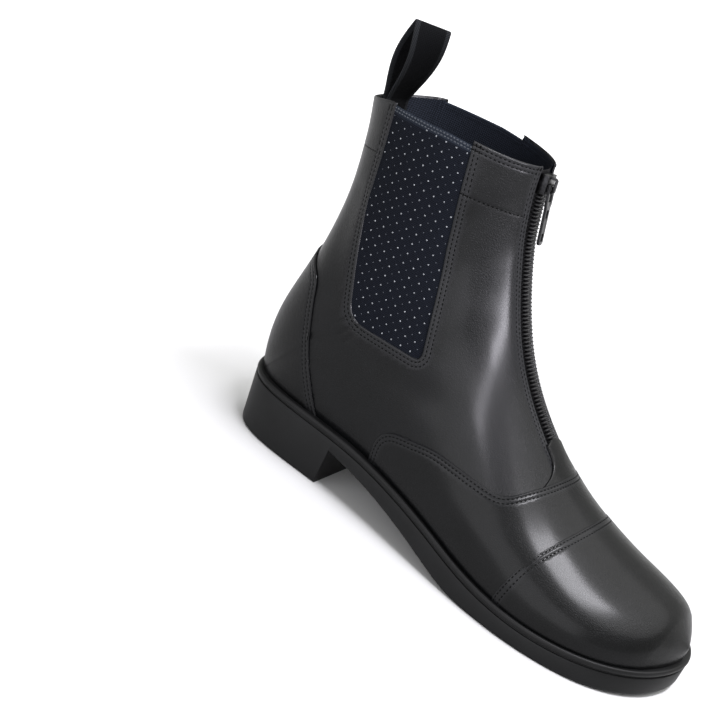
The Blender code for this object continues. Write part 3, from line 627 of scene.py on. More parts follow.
def makeGrainGroup():
    # fine pores of polished hide, with a broad unevenness for tone and gloss
    sizes = {"Pore Scale": 2100.0, "Broad Scale": 42.0}
    group, source, result = nodeGroup("hideGrain", sizes, ("Height", "Broad"))
    vector, poreScale, broadScale = source.outputs[:3]
    inputs = {"Vector": vector, "Scale": poreScale, "Smoothness": 0.6}
    pores = addNode(group, "ShaderNodeTexVoronoi", {"feature": "SMOOTH_F1"}, **inputs)
    creasing = noiseNode(group, vector, 1150.0, 4.0, 0.65)
    broad = noiseNode(group, vector, broadScale, 2.0)
    height = mathNode(group, "MULTIPLY_ADD", pores.outputs["Distance"], 0.6, creasing)
    height = mathNode(group, "MULTIPLY_ADD", broad, 1.6, height)
    group.links.new(height, result.inputs["Height"])
    group.links.new(broad, result.inputs["Broad"])
    return group


def makeWeaveGroup():
    # plain weave: the threads of two directions pass over each other by turns
    group, source, result = nodeGroup("plainWeave", {"Warp Pitch": 0.6, "Weft Pitch": 0.6}, ("Height",))
    vector, warpPitch, weftPitch = source.outputs[:3]
    axes = addNode(group, "ShaderNodeSeparateXYZ", Vector=vector)
    waves = []
    for axis, pitch in zip(axes.outputs[:2], (warpPitch, weftPitch)):
        turn = mathNode(group, "MULTIPLY", mathNode(group, "DIVIDE", axis, pitch), math.pi)
        waves.append(mathNode(group, "SINE", turn))
    crossing = mathNode(group, "MULTIPLY", *waves)
    fuzz = noiseNode(group, vector, 1.2, 3.0, 0.7)
    height = mathNode(group, "MULTIPLY_ADD", fuzz, 0.9, mathNode(group, "ABSOLUTE", crossing))
    group.links.new(height, result.inputs["Height"])
    return group


grainGroup = makeGrainGroup()
weaveGroup = makeWeaveGroup()


def startMaterial(name):
    material = bpy.data.materials.new(name)
    material.use_nodes = True
    tree = material.node_tree
    return material, tree, tree.nodes["Principled BSDF"]


def useGroup(tree, group, vector, **values):
    node = tree.nodes.new("ShaderNodeGroup")
    node.node_tree = group
    tree.links.new(vector, node.inputs["Vector"])
    for key, value in values.items():
        node.inputs[key.replace("_", " ")].default_value = value
    return node


def objectVector(tree):
    return tree.nodes.new("ShaderNodeTexCoord").outputs["Object"]


def setSockets(shader, values):
    for key, value in values.items():
        shader.inputs[key].default_value = value


def bumpInto(tree, shader, height, strength, distance):
    bump = addNode(tree, "ShaderNodeBump", Strength=strength, Distance=distance, Height=height)
    tree.links.new(bump.outputs[0], shader.inputs["Normal"])


def leatherMaterial(name, dark, light, gloss):
    material, tree, shader = startMaterial(name)
    grain = useGroup(tree, grainGroup, objectVector(tree))
    paint(tree, shader, grain.outputs["Broad"], 0.3, 0.7, dark, light)
    # the band along the edges is painted lighter and a little rougher: a painted highlight on the raised
    # seams beside the stitches
    strip = hemAndSheenValue(tree)
    overlay(tree, shader, mathNode(tree, "MULTIPLY", strip, 0.75), (0.0065, 0.0067, 0.0074, 1.0))
    rough = spreadValue(tree, grain.outputs["Broad"], *gloss)
    tree.links.new(mathNode(tree, "MULTIPLY_ADD", strip, 0.05, rough), shader.inputs["Roughness"])
    bumpInto(tree, shader, grain.outputs["Height"], 0.7, 0.0003)
    setSockets(shader, {"Coat Weight": 0.17, "Coat Roughness": 0.22, "Specular IOR Level": 0.075})
    return material


def clothMaterial(name, dark, light, pitch, axes=(0.0, 0.0, 0.0), uvName=None, depth=0.0002):
    # the pitch is in mm, as a UV map is; axes turns the weave's plane on to the piece
    material, tree, shader = startMaterial(name)
    if uvName:
        vector, scale = addNode(tree, "ShaderNodeUVMap", {"uv_map": uvName}).outputs[0], 1.0
    else:
        vector, scale = objectVector(tree), 1 / mm
    turned = addNode(tree, "ShaderNodeMapping", Vector=vector, Rotation=axes, Scale=(scale,) * 3)
    weave = useGroup(tree, weaveGroup, turned.outputs[0], Warp_Pitch=pitch[0], Weft_Pitch=pitch[1])
    paint(tree, shader, weave.outputs["Height"], 0.4, 1.3, dark, light)
    setSockets(shader, {"Roughness": 0.8, "Sheen Weight": 0.006, "Specular IOR Level": 0.05})
    bumpInto(tree, shader, weave.outputs["Height"], 0.5, depth)
    return material, tree, shader


leatherTones = {
    "quarter": ((0.0007, 0.0008, 0.0009), (0.0015, 0.0016, 0.0019), (0.33, 0.40)),
    "vamp": ((0.0007, 0.0008, 0.0009), (0.0015, 0.0016, 0.0019), (0.33, 0.40)),
    "cap": ((0.0008, 0.0009, 0.0010), (0.0018, 0.0019, 0.0022), (0.32, 0.39)),
    "counter": ((0.0008, 0.0008, 0.0009), (0.0017, 0.0017, 0.0019), (0.38, 0.45)),
}
leather = {name: leatherMaterial(name + "Leather", *tone) for name, tone in leatherTones.items()}
standing = {"axes": (math.pi / 2, 0.0, 0.0)}
liningTones = (0.0012, 0.0015, 0.0022), (0.0060, 0.0075, 0.0110)
liningCloth, _, _ = clothMaterial("liningCloth", *liningTones, (1.1, 1.1), depth=0.0003, **standing)
tapeTones = (0.0012, 0.0012, 0.0012), (0.0050, 0.0050, 0.0054)
tapeCloth, _, _ = clothMaterial("zipTapeCloth", *tapeTones, (0.7, 0.7))
insoleTones = (0.010, 0.010, 0.011), (0.035, 0.034, 0.034)
insoleCloth, _, _ = clothMaterial("insoleCloth", *insoleTones, (0.9, 0.9))
print("materials made")

# quarters with their lining: one wall, open at the collar, the front, the gussets and underneath
quarterCreases = (
    {"path": ((61.0, 90.5), (57.0, 84.0), (55.0, 79.0)), "rise": -0.5, "width": 0.9, "side": -1},
    {"path": ((57.5, 92.0), (53.0, 86.5), (50.5, 82.0)), "rise": -0.6, "width": 1.0, "side": -1},
    {"path": ((53.5, 95.0), (48.5, 90.0)), "rise": -0.45, "width": 0.9, "side": -1},
    {"path": ((22.0, 150.0), (26.0, 125.0), (36.0, 100.0)), "rise": -1.2, "width": 8.0, "side": -1},
    {"path": ((22.0, 150.0), (26.0, 125.0), (36.0, 100.0)), "rise": -1.0, "width": 8.0, "side": 1},
    {"path": ((108.0, 128.0), (101.0, 112.0), (104.0, 96.0)), "rise": 0.5, "width": 9.0, "side": -1},
    {"path": ((118.0, 80.0), (96.0, 78.0), (72.0, 80.0)), "rise": -0.5, "width": 8.0, "side": -1},
    {"path": ((118.0, 80.0), (96.0, 78.0), (72.0, 80.0)), "rise": -0.5, "width": 8.0, "side": 1},
    {"path": ((14.0, 172.0), (17.0, 150.0)), "rise": 0.4, "width": 7.0, "side": -1},
)


# where the quarters' stitch rows start and stop
rowLimits = {
    "frontX": (70.0, 110.0), "offGusset": 0.5, "offCollar": 1.2, "zipX": 90.0, "underVamp": 0.5,
    "backX": 30.0, "backGusset": 5.0,
}


def beforeGusset(points, fromRidge):
    low, high = rowLimits["frontX"]
    front = (points[:, 0] > low) & (points[:, 0] < high) & (gussetField(points) < -rowLimits["offGusset"])
    return front & (np.abs(points[:, 1]) > fromRidge)


def behindGusset(points):
    return (points[:, 0] < rowLimits["backX"]) & (gussetField(points) < -rowLimits["backGusset"])


def belowCollar(points):
    return collarField(points) < -rowLimits["offCollar"]


def besideZip(points):
    aboveVamp = vampField(points) < rowLimits["underVamp"]
    return (points[:, 0] > rowLimits["zipX"]) & belowCollar(points) & aboveVamp


quarterSpec = {
    "sections": (0.0, lastEnd), "step": 2.7, "columns": 105, "furrow": (-0.8, 0.0, 0.8),
    "out": -0.6, "thick": 2.0,
    "cuts": ((seatField, 0.0), (notCollar, 0.0), (notGusset, 0.0), (notZip, 0.0)),
    "lips": (notCollar, notGusset, notZip),
    "rows": (
        {"field": notGusset, "at": 2.0, "within": belowCollar},
        {"field": notGusset, "at": 4.3, "within": belowCollar},
        {"field": notZip, "at": 1.8, "within": besideZip},
        {"field": notZip, "at": 3.9, "within": besideZip},
        {"field": notCollar, "at": 1.9, "within": lambda p: beforeGusset(p, 10.0)},
        {"field": notCollar, "at": 4.1, "within": lambda p: beforeGusset(p, 12.0)},
        {"field": facingFront, "at": 0.0, "within": lambda p: beforeGusset(p, 12.0)},
        {"field": facingBack, "at": 0.0, "within": behindGusset},
    ),
    "creases": quarterCreases,
}
ridePiece(leatherPanel("quarters", quarterSpec, [leather["quarter"], liningCloth]), "upper", "upper")

vampSpec = {
    "sections": (2.0, 13.0), "step": 2.0, "out": 0.5, "thick": 1.0,
    "cuts": ((seatField, 0.0), (vampField, 0.0), (notCap, -6.0)), "lips": (vampField,),
    "rows": ({"field": vampField, "at": 1.7}, {"field": vampField, "at": 3.9}),
    "creases": (
        {"path": ((200.0, 40.0), (178.0, 38.0), (150.0, 42.0)), "rise": 0.4, "width": 9.0, "side": -1},
        {"path": ((120.0, 46.0), (150.0, 34.0), (180.0, 27.0)), "rise": -0.35, "width": 7.0, "side": -1},
    ),
}
ridePiece(leatherPanel("vampPanel", vampSpec, [leather["vamp"]]), "vamp", "vamp")

capSpec = {
    "sections": (0.0, 7.4), "step": 2.0, "out": 0.9, "thick": 1.0,
    "cuts": ((seatField, 0.0), (capField, 0.0)), "lips": (capField,),
    "rows": ({"field": capField, "at": 1.4}, {"field": capField, "at": 4.1}),
}
ridePiece(leatherPanel("toeCapPanel", capSpec, [leather["cap"]]), "toe_cap", "toe_cap")

counterSpec = {
    "sections": (11.5, 24.0), "step": 2.0, "out": 0.5, "thick": 1.2,
    "cuts": ((seatField, 0.0), (counterField, 0.0)), "lips": (counterField,),
    "rows": ({"field": counterField, "at": 1.8}, {"field": counterField, "at": 4.2}),
}
ridePiece(leatherPanel("counterPanel", counterSpec, [leather["counter"]]), "counter", "counter")
print("leather panels made")

patchShape = {"topX": 168.4, "topHalf": 8.6, "flare": 14.0, "reach": 16.0, "bow": 0.018}


def patchField(points):
    # the bell-shaped piece that covers the zip's lower end and spreads along the vamp's edge
    share = np.clip(1.0 + vampField(points) / patchShape["reach"], 0.0, 1.15)
    across = patchShape["topHalf"] + patchShape["flare"] * share**3 - np.abs(points[:, 1])
    return np.minimum(across, points[:, 0] - patchShape["topX"] - patchShape["bow"] * points[:, 1] ** 2)


patchSpec = {
    "sections": (6.0, 10.5), "step": 1.2, "columns": 161, "out": 0.1, "thick": 0.9, "strip": 0.0,
    "cuts": ((patchField, 0.0), (outside(vampField), -1.6)), "lips": (patchField,),
    "creases": ({"path": ((177.0, 78.0), (172.0, 82.0)), "rise": 0.6, "width": 6.0, "side": 0},),
}
ridePiece(leatherPanel("zipEndPatch", patchSpec, [leather["vamp"]]), "vamp")

# elastic gussets
elasticTones = (0.0001, 0.0002, 0.0004), (0.0026, 0.0034, 0.0060)
elastic, tree, shader = clothMaterial("gussetElastic", *elasticTones, (0.7, 0.9), depth=0.00025, **standing)
overlay(tree, shader, hemAndSheenValue(tree), (0.007, 0.009, 0.013, 1.0))
gussetShape = {"out": -1.3, "thick": 1.3, "tuck": 3.0, "hem": 2.8, "hemRows": (0.9, 2.4)}
belowHem = outside(gussetTopField)
gussetPanels = []
for sideName, across in (("lateral", (0.05, 0.42)), ("medial", (0.58, 0.95))):
    inWindow = {"field": belowHem, "within": lambda p: gussetField(p) > 0.4}
    spec = {
        "sections": (10.0, lastEnd), "step": 2.2, "columns": 61, "across": across,
        "out": gussetShape["out"], "thick": gussetShape["thick"],
        "strip": gussetShape["hem"], "thread": "pale",
        "cuts": ((gussetField, -gussetShape["tuck"]), (belowHem, 0.0)), "lips": (belowHem,),
        "rows": [{"at": at, **inWindow} for at in gussetShape["hemRows"]],
    }
    panel = leatherPanel("elastic_" + sideName, spec, [elastic, liningCloth])
    gussetPanels.append(ridePiece(panel, "gusset", "gusset_" + sideName))
print("gussets made")

# zip tape behind the front edges
tapeShape = {"half": 12.0, "out": -2.75, "thick": 0.6, "topZ": 204.0}
zipEndT = ridgeWhere(0, zipShape["endX"], 5.0, 14.0)


def tapeField(points):
    return np.minimum(tapeShape["half"] - np.abs(points[:, 1]), tapeShape["topZ"] - points[:, 2])


tapeSpec = {
    "sections": (zipEndT - 0.4, lastEnd), "step": 1.8, "columns": 25, "across": (0.40, 0.60),
    "out": tapeShape["out"], "thick": tapeShape["thick"], "cuts": ((tapeField, 0.0),), "lips": (),
}
ridePiece(leatherPanel("zipTape", tapeSpec, [tapeCloth]), "zip_tape", "zip_tape")

# moulded rubber sole
soleShape = {
    "heelT": 16.95, "breastX": 71.0, "breastSlant": 1.6, "heelTaper": 2.2, "step": 0.13, "footOut": 2.2,
    "beadOut": 3.2, "beadHalf": 1.6, "beadReach": 1.15, "columns": 45,
    "recess": 1.6, "recessWall": (-0.1, 0.8), "recessLevels": (-0.5, 0.0, 0.7, 1.2),
    "seat": ((-5.0, 0.0), (2.6, 0.0)),
    "groove": ((3.05, -3.35), (2.95, -3.7), (3.05, -4.05), (3.7, -4.35), (3.95, -4.9)),
    "edge": ((3.55, 2.0), (3.4, 1.2), (3.1, 0.6), (2.7, 0.2), (2.2, 0.0)),
}
treadOutlines = {
    "forefoot": (
        (270.0, 4.0, 30), (258.0, -31.0, 30), (228.0, -43.0, 60), (186.0, -42.0, 60), (152.0, -34.0, 26),
        (147.0, 0.0, 60), (153.0, 24.0, 26), (186.0, 32.0, 60), (228.0, 36.0, 60), (258.0, 28.0, 30),
    ),
    "waist": (
        (132.0, -19.0, 0), (124.0, -14.0, 30), (102.0, -14.0, 30), (94.0, -19.0, 0), (91.0, -3.0, 60),
        (94.0, 14.0, 0), (102.0, 10.0, 30), (124.0, 10.0, 30), (132.0, 14.0, 0), (135.0, -3.0, 60),
    ),
    "heelFront": ((62.0, -22.0, 3), (62.0, 22.0, 3), (50.0, 22.0, 3), (50.0, -22.0, 3)),
    "heelBack": ((40.0, -20.0, 8), (40.0, 20.0, 8), (14.0, 15.0, 12), (14.0, -15.0, 12)),
}


def inHeel(t):
    return lastRow(t)["baseX"] < soleShape["breastX"] + soleShape["breastSlant"] / 2


def soleRuns(t, out):
    # plan lines at a distance out from the feather line, lateral then medial
    runs = []
    for side, column in ((-1.0, "featherLat"), (1.0, "featherMed")):
        def line(at):
            row = lastRow(np.clip(at, 0.0, lastForm["closedRow"]))
            return np.stack([row["baseX"], row["axisY"] + side * np.maximum(row[column], 0.0)], -1)
        tangent = line(t + 0.03) - line(t - 0.03)
        tangent = tangent / np.maximum(np.linalg.norm(tangent, axis=-1, keepdims=True), 1e-9)
        normal = np.stack([-tangent[..., 1], tangent[..., 0]], -1) * -side
        normal[t <= 0.0] = (1.0, 0.0)
        normal[t >= soleShape["heelT"]] = (-1.0, 0.0)
        runs.append(line(t) + np.asarray(out)[..., None] * normal)
    return runs


def soleRing(t, out):
    lateral, medial = soleRuns(t, out)
    return np.concatenate([lateral, medial[::-1]])


def footPoint(t, w):
    lateral, medial = soleRuns(t, soleShape["footOut"] - soleShape["heelTaper"] * inHeel(t))
    plan = lateral + (medial - lateral) * w[..., None]
    foot = np.where(inHeel(t), 0.0, profileAt(plan[..., 0], "underside"))
    return np.concatenate([plan, foot[..., None]], -1)


def footNormal(t, w):
    return np.broadcast_to(np.array([0.0, 0.0, -1.0]), t.shape + (3,))


def soleSections():
    heelT, breastX, step = (soleShape[key] for key in ("heelT", "breastX", "step"))
    fine = np.linspace(0.0, heelT, 600)
    x = lastRow(fine)["baseX"]
    breast = [float(np.interp(-at, -x, fine)) for at in (breastX + soleShape["breastSlant"], breastX)]
    values = list(np.arange(0.0, heelT, step)) + [heelT]
    values = [v for v in values if min(abs(v - at) for at in breast) > step * 0.35]
    return np.array(sorted(values + breast))


def soleRings():
    # the side from the seat outwards and down: distance out, and height from the top or from the foot
    half, bead = soleShape["beadHalf"], []
    for angle in np.radians((80, 50, 20, -10, -40, -65)):
        out = soleShape["beadOut"] + soleShape["beadReach"] * math.cos(angle)
        bead.append((out, -half + half * math.sin(angle)))
    rings = [(out, "top", step) for out, step in (*soleShape["seat"], *bead, *soleShape["groove"])]
    return rings + [(out, "foot", step) for out, step in soleShape["edge"]]


def makeSole(material):
    tValues = soleSections()
    heel = inHeel(tValues)
    points, count = [], 2 * len(tValues)
    for out, start, step in soleRings():
        low = start == "foot"
        ring = soleRing(tValues, out - soleShape["heelTaper"] * (heel & low))
        inside = np.concatenate([heel, heel[::-1]])
        foot = np.where(inside, 0.0, profileAt(ring[:, 0], "underside"))
        z = (foot if low else profileAt(ring[:, 0], "top")) + step
        points.append(np.column_stack([ring, z]))
    quads = bandFaces(len(points), count)
    quads += [(a, a + 1, count - 2 - a, count - 1 - a) for a in range(count // 2 - 1)]
    faces = [corners for a, b, c, d in quads for corners in ((a, b, c), (a, c, d))]
    side = np.concatenate(points)
    under = gridSkin(tValues, np.linspace(0.0, 1.0, soleShape["columns"]), footPoint, footNormal)
    recess = []
    for corners in treadOutlines.values():
        outline = roundedOutline(corners)
        recess.append(lambda p, outline=outline: outlineDistance(outline, p[:, :2]))
        splitAlong(under, recess[-1], soleShape["recessLevels"])
    bottom = skinPoints(under)
    rise = np.max([smoothRise(field(bottom), *soleShape["recessWall"]) for field in recess], axis=0)
    bottom[:, 2] += soleShape["recess"] * rise
    allFaces = np.concatenate([np.array(faces), under["faces"] + len(side)])
    sole = linkMesh("soleUnit", np.concatenate([side, bottom]), allFaces, [material])
    faceOutwards(sole.data)
    smoothFaces(sole.data, 38.0)
    return sole


def rubberMaterial():
    material, tree, shader = startMaterial("soleRubber")
    grain = useGroup(tree, grainGroup, objectVector(tree), Pore_Scale=1500.0, Broad_Scale=70.0)
    broad = grain.outputs["Broad"]
    paint(tree, shader, broad, 0.3, 0.75, (0.0013, 0.0014, 0.0015), (0.0030, 0.0031, 0.0034))
    tree.links.new(spreadValue(tree, broad, 0.44, 0.58), shader.inputs["Roughness"])
    bumpInto(tree, shader, grain.outputs["Height"], 0.12, 0.00012)
    setSockets(shader, {"Specular IOR Level": 0.19})
    return material


rubber = rubberMaterial()
ridePiece(makeSole(rubber), "outsole", "outsole")
print("sole made")


# each ring of the insole: distance out from the feather line, and height over the sole's top
insoleShape = {
    "sections": (0.3, 16.6, 110), "rings": ((-4.2, 0.3), (-4.2, 1.7), (-4.6, 2.2), (-5.4, 2.4), (-14.0, 2.6)),
}


def makeInsole(material):
    tValues, rings = np.linspace(*insoleShape["sections"]), insoleShape["rings"]
    points, count = [], 2 * len(tValues)
    for out, rise in rings:
        ring = soleRing(tValues, out * np.ones(len(tValues)))
        points.append(np.column_stack([ring, profileAt(ring[:, 0], "top") + rise]))
    faces = bandFaces(len(rings), count)
    for ring in (0, len(rings) - 1):
        for a in range(count // 2 - 1):
            faces.append([ring * count + k for k in (a, a + 1, count - 2 - a, count - 1 - a)])
    insole = linkMesh("insoleSock", np.concatenate(points), faces, [material])
    faceOutwards(insole.data)
    return settle(insole)


ridePiece(makeInsole(insoleCloth), "insole", "insole")

# pull loop: webbing folded into a loop that turns a little, sewn inside the collar
# its rows: distance from the fold's middle, height over the base, turn in degrees
loopTable = np.array([
    (-0.85, -16.0, 2.0), (-0.85, -6.0, 3.0), (-1.2, 3.0, 10.0), (-5.0, 14.0, 18.0), (-7.2, 25.0, 28.0),
    (-5.6, 35.0, 42.0), (-1.6, 43.0, 50.0), (1.6, 43.4, 51.0), (5.6, 36.0, 43.0), (6.2, 26.0, 29.0),
    (4.2, 14.0, 18.0), (1.4, 3.0, 10.0), (0.85, -6.0, 3.0), (0.85, -16.0, 2.0),
])
loopShape = {
    "width": 20.0, "thick": 1.3, "base": (7.9, 2.3, 196.0), "lean": (0.09, -0.04), "backSlope": -0.29,
    "rows": 150, "columns": 41, "rim": 0.15, "rimThin": 0.72,
}


def makeLoop(material):
    rows = blendRows(loopTable, np.linspace(0, len(loopTable) - 1, loopShape["rows"]))
    gap, height, turn = rows[:, 0], rows[:, 1], np.radians(rows[:, 2])
    rise, sunk = np.maximum(height, 0.0), np.minimum(height, 0.0)
    across = np.stack([np.sin(turn), np.cos(turn), 0 * turn], -1)
    fold = np.stack([np.cos(turn), -np.sin(turn), 0 * turn], -1)
    base, lean = loopShape["base"], loopShape["lean"]
    centreX = base[0] + lean[0] * rise + loopShape["backSlope"] * sunk
    centre = np.stack([centreX, base[1] + lean[1] * rise, base[2] + height], -1) + gap[:, None] * fold
    face = np.cross(np.gradient(centre, axis=0), across)
    face = face / np.linalg.norm(face, axis=1, keepdims=True)
    length = np.concatenate([[0.0], np.cumsum(np.linalg.norm(np.diff(centre, axis=0), axis=1))])
    half, thick = loopShape["width"] / 2, loopShape["thick"] / 2
    flat = half - loopShape["rim"]
    top = [(a, thick) for a in np.linspace(-flat, flat, loopShape["columns"])]
    top[0], top[-1] = [(a, thick * loopShape["rimThin"]) for a in (-flat, flat)]
    section = top + [(half, 0.0)] + [(a, -b) for a, b in top[::-1]] + [(-half, 0.0)]
    points, uvs = [], []
    for k in range(len(rows)):
        for a, b in section:
            points.append(centre[k] + a * across[k] + b * face[k])
            uvs.append((a, length[k]))
    count = len(section)
    faces = bandFaces(len(rows), count)
    for start in (0, (len(rows) - 1) * count):
        for a in range(loopShape["columns"] - 1):
            faces.append([start + k for k in (a, a + 1, count - 3 - a, count - 2 - a)])
    mesh = bpy.data.meshes.new("pullLoop")
    mesh.from_pydata(inRow(np.array(points)).tolist(), [], faces)
    layer = mesh.uv_layers.new(name="webbing")
    corner = np.empty(len(mesh.loops), np.int32)
    mesh.loops.foreach_get("vertex_index", corner)
    layer.data.foreach_set("uv", np.array(uvs, np.float32)[corner].ravel())
    mesh.materials.append(material)
    faceOutwards(mesh)
    smoothFaces(mesh, 50.0)
    return linkObject("pullLoop", mesh)


webTones = (0.0003, 0.0003, 0.0004), (0.0028, 0.0030, 0.0038)
webbing, tree, shader = clothMaterial("loopWebbing", *webTones, (1.0, 0.8), uvName="webbing", depth=0.0003)
selvedge = {"half": 7.4, "soft": 0.3, "rib": 1.4, "tones": ((0.005, 0.0053, 0.0062), (0.015, 0.016, 0.018))}


def addSelvedge(tree, shader, uvName, shape):
    # the two woven borders of the webbing are paler, with a rib of their own
    place = addNode(tree, "ShaderNodeUVMap", {"uv_map": uvName}).outputs[0]
    axes = addNode(tree, "ShaderNodeSeparateXYZ", Vector=place)
    away = mathNode(tree, "ABSOLUTE", axes.outputs[0])
    edge = {"From Min": shape["half"] - shape["soft"], "From Max": shape["half"] + shape["soft"]}
    share = addNode(tree, "ShaderNodeMapRange", {"interpolation_type": "SMOOTHSTEP"}, Value=away, **edge)
    slant = mathNode(tree, "ADD", away, axes.outputs[1])
    rib = mathNode(tree, "SINE", mathNode(tree, "MULTIPLY", slant, 2 * math.pi / shape["rib"]))
    border = rampNode(tree, mathNode(tree, "MULTIPLY_ADD", rib, 0.5, 0.5), 0.2, 0.8, *shape["tones"])
    overlay(tree, shader, share.outputs[0], border)


addSelvedge(tree, shader, "webbing", selvedge)
ridePiece(makeLoop(webbing), "pull_loop", "pull_loop")
print("pull loop made")


# Geometry Nodes: copies of a small template along the edges or on the points of a mesh
def startTree(name, inputs):
    tree = bpy.data.node_groups.new(name, "GeometryNodeTree")
    for label, kind in {"Geometry": "Geometry", **inputs, "Finish": "Material"}.items():
        tree.interface.new_socket(label, in_out="INPUT", socket_type="NodeSocket" + kind)
    tree.interface.new_socket("Geometry", in_out="OUTPUT", socket_type="NodeSocketGeometry")
    return tree, tree.nodes.new("NodeGroupInput")


def endTree(tree, source, geometry):
    solid = addNode(tree, "GeometryNodeRealizeInstances", Geometry=geometry).outputs[0]
    finish = source.outputs["Finish"]
    painted = addNode(tree, "GeometryNodeSetMaterial", Geometry=solid, Material=finish)
    tree.links.new(painted.outputs[0], tree.nodes.new("NodeGroupOutput").inputs[0])
    return tree


def vectorNode(tree, name):
    settings = {"data_type": "FLOAT_VECTOR"}
    return addNode(tree, "GeometryNodeInputNamedAttribute", settings, Name=name).outputs["Attribute"]


def objectNode(tree, template):
    return addNode(tree, "GeometryNodeObjectInfo", Object=template).outputs["Geometry"]


def instanceTree(name, alongPath):
    tree, source = startTree(name, {"Template": "Object", "Pitch": "Float"})
    points = source.outputs["Geometry"]
    if alongPath:
        curve = addNode(tree, "GeometryNodeMeshToCurve", Mesh=points).outputs[0]
        inputs = {"Curve": curve, "Length": source.outputs["Pitch"]}
        points = addNode(tree, "GeometryNodeResampleCurve", {"mode": "LENGTH"}, **inputs).outputs[0]
        along = tree.nodes.new("GeometryNodeInputTangent").outputs[0]
    else:
        along = vectorNode(tree, "along")
    inputs = {"Primary Axis": vectorNode(tree, "out"), "Secondary Axis": along}
    settings = {"primary_axis": "Z", "secondary_axis": "X"}
    turn = addNode(tree, "FunctionNodeAxesToRotation", settings, **inputs).outputs[0]
    inputs = {"Points": points, "Instance": objectNode(tree, source.outputs["Template"]), "Rotation": turn}
    placed = addNode(tree, "GeometryNodeInstanceOnPoints", **inputs)
    return endTree(tree, source, placed.outputs[0])


def sweepTree(name):
    tree, source = startTree(name, {"Profile": "Object"})
    curve = addNode(tree, "GeometryNodeMeshToCurve", Mesh=source.outputs["Geometry"]).outputs[0]
    level = addNode(tree, "GeometryNodeSetCurveNormal", {"mode": "Z_UP"}, Curve=curve).outputs[0]
    outline = objectNode(tree, source.outputs["Profile"])
    section = addNode(tree, "GeometryNodeMeshToCurve", Mesh=outline).outputs[0]
    inputs = {"Curve": level, "Profile Curve": section, "Fill Caps": True}
    swept = addNode(tree, "GeometryNodeCurveToMesh", **inputs)
    return endTree(tree, source, swept.outputs[0])


pathTree = instanceTree("repeatAlongPath", True)
pointTree = instanceTree("repeatOnPoints", False)


def runTree(name, tree, points, edges, vectors, values, sharp=50.0):
    mesh = bpy.data.meshes.new(name)
    mesh.from_pydata(inRow(points).tolist(), edges, [])
    for key, vector in vectors.items():
        layer = mesh.attributes.new(key, "FLOAT_VECTOR", "POINT")
        layer.data.foreach_set("vector", np.asarray(vector, np.float32).ravel())
    obj = linkObject(name, mesh)
    modifier = obj.modifiers.new("repeat", "NODES")
    modifier.node_group = tree
    for item in tree.interface.items_tree:
        if item.item_type == "SOCKET" and item.in_out == "INPUT" and item.name in values:
            modifier[item.identifier] = values[item.name]
    return settle(obj, sharp)


def templateObject(name, bm):
    mesh = bpy.data.meshes.new(name)
    bmesh.ops.recalc_face_normals(bm, faces=bm.faces)
    bm.to_mesh(mesh)
    bm.free()
    return linkObject(name, mesh)


def roundedBlock(bm, low, high, bevel, segments=1):
    made = bmesh.ops.create_cube(bm, size=1.0)["verts"]
    for vert in made:
        vert.co = Vector([((a + b) / 2 + c * (b - a)) * mm for a, b, c in zip(low, high, vert.co)])
    edges = {edge for vert in made for edge in vert.link_edges}
    bmesh.ops.bevel(bm, geom=list(edges), offset=bevel * mm, segments=segments, affect="EDGES", profile=0.5)


# wavy ribs across the forefoot's recess, swept along their paths
ribShape = {
    "alongX": (146.0, 276.0), "pitch": 9.1, "acrossY": (-48.0, 42.0), "step": 1.0, "wave": 20.0, "swing": 2.4,
    "lap": 0.6, "fewest": 6, "base": 6.6, "crown": 5.2, "sunk": 0.4, "proud": 1.5,
}


def ribPaths():
    outline = roundedOutline(treadOutlines["forefoot"])
    points, edges = [], []
    across = np.arange(*ribShape["acrossY"], ribShape["step"])
    for start in np.arange(*ribShape["alongX"], ribShape["pitch"]):
        x = start + ribShape["swing"] * np.sin(2 * math.pi * across / ribShape["wave"])
        keep = outlineDistance(outline, np.column_stack([x, across])) > -ribShape["lap"]
        spots = np.flatnonzero(keep)
        if len(spots) < ribShape["fewest"]:
            continue
        first = len(points)
        z = profileAt(x, "underside") + soleShape["recess"]
        points += [(x[k], across[k], z[k]) for k in spots]
        edges += [(first + k, first + k + 1) for k in range(len(spots) - 1)]
    return np.array(points), edges


def ribProfile():
    bm = bmesh.new()
    base, crown, proud = ribShape["base"] / 2, ribShape["crown"] / 2, ribShape["proud"]
    right = [(base, -ribShape["sunk"]), (crown + 0.2, proud - 0.25), (crown - 0.3, proud)]
    left = [(-a, b) for a, b in right]
    corners = left[:1] + right + left[:0:-1]
    verts = [bm.verts.new(Vector((a, b, 0.0)) * mm) for a, b in corners]
    for k, vert in enumerate(verts):
        bm.edges.new((verts[k - 1], vert))
    return templateObject("ribProfile", bm)


profile = ribProfile()
points, edges = ribPaths()
values = {"Profile": profile, "Finish": rubber}
ribs = runTree("treadRibs", sweepTree("sweepAlongPath"), points, edges, {}, values, 35.0)
faceOutwards(ribs.data)
ridePiece(ribs, "outsole")
bpy.data.objects.remove(profile)
print("tread ribs made")

# threads: a stitch is a short capsule that lies in its furrow
stitchShape = {"pitch": 2.35, "hemPitch": 1.9, "length": 1.55, "wide": 0.78, "proud": 0.2}


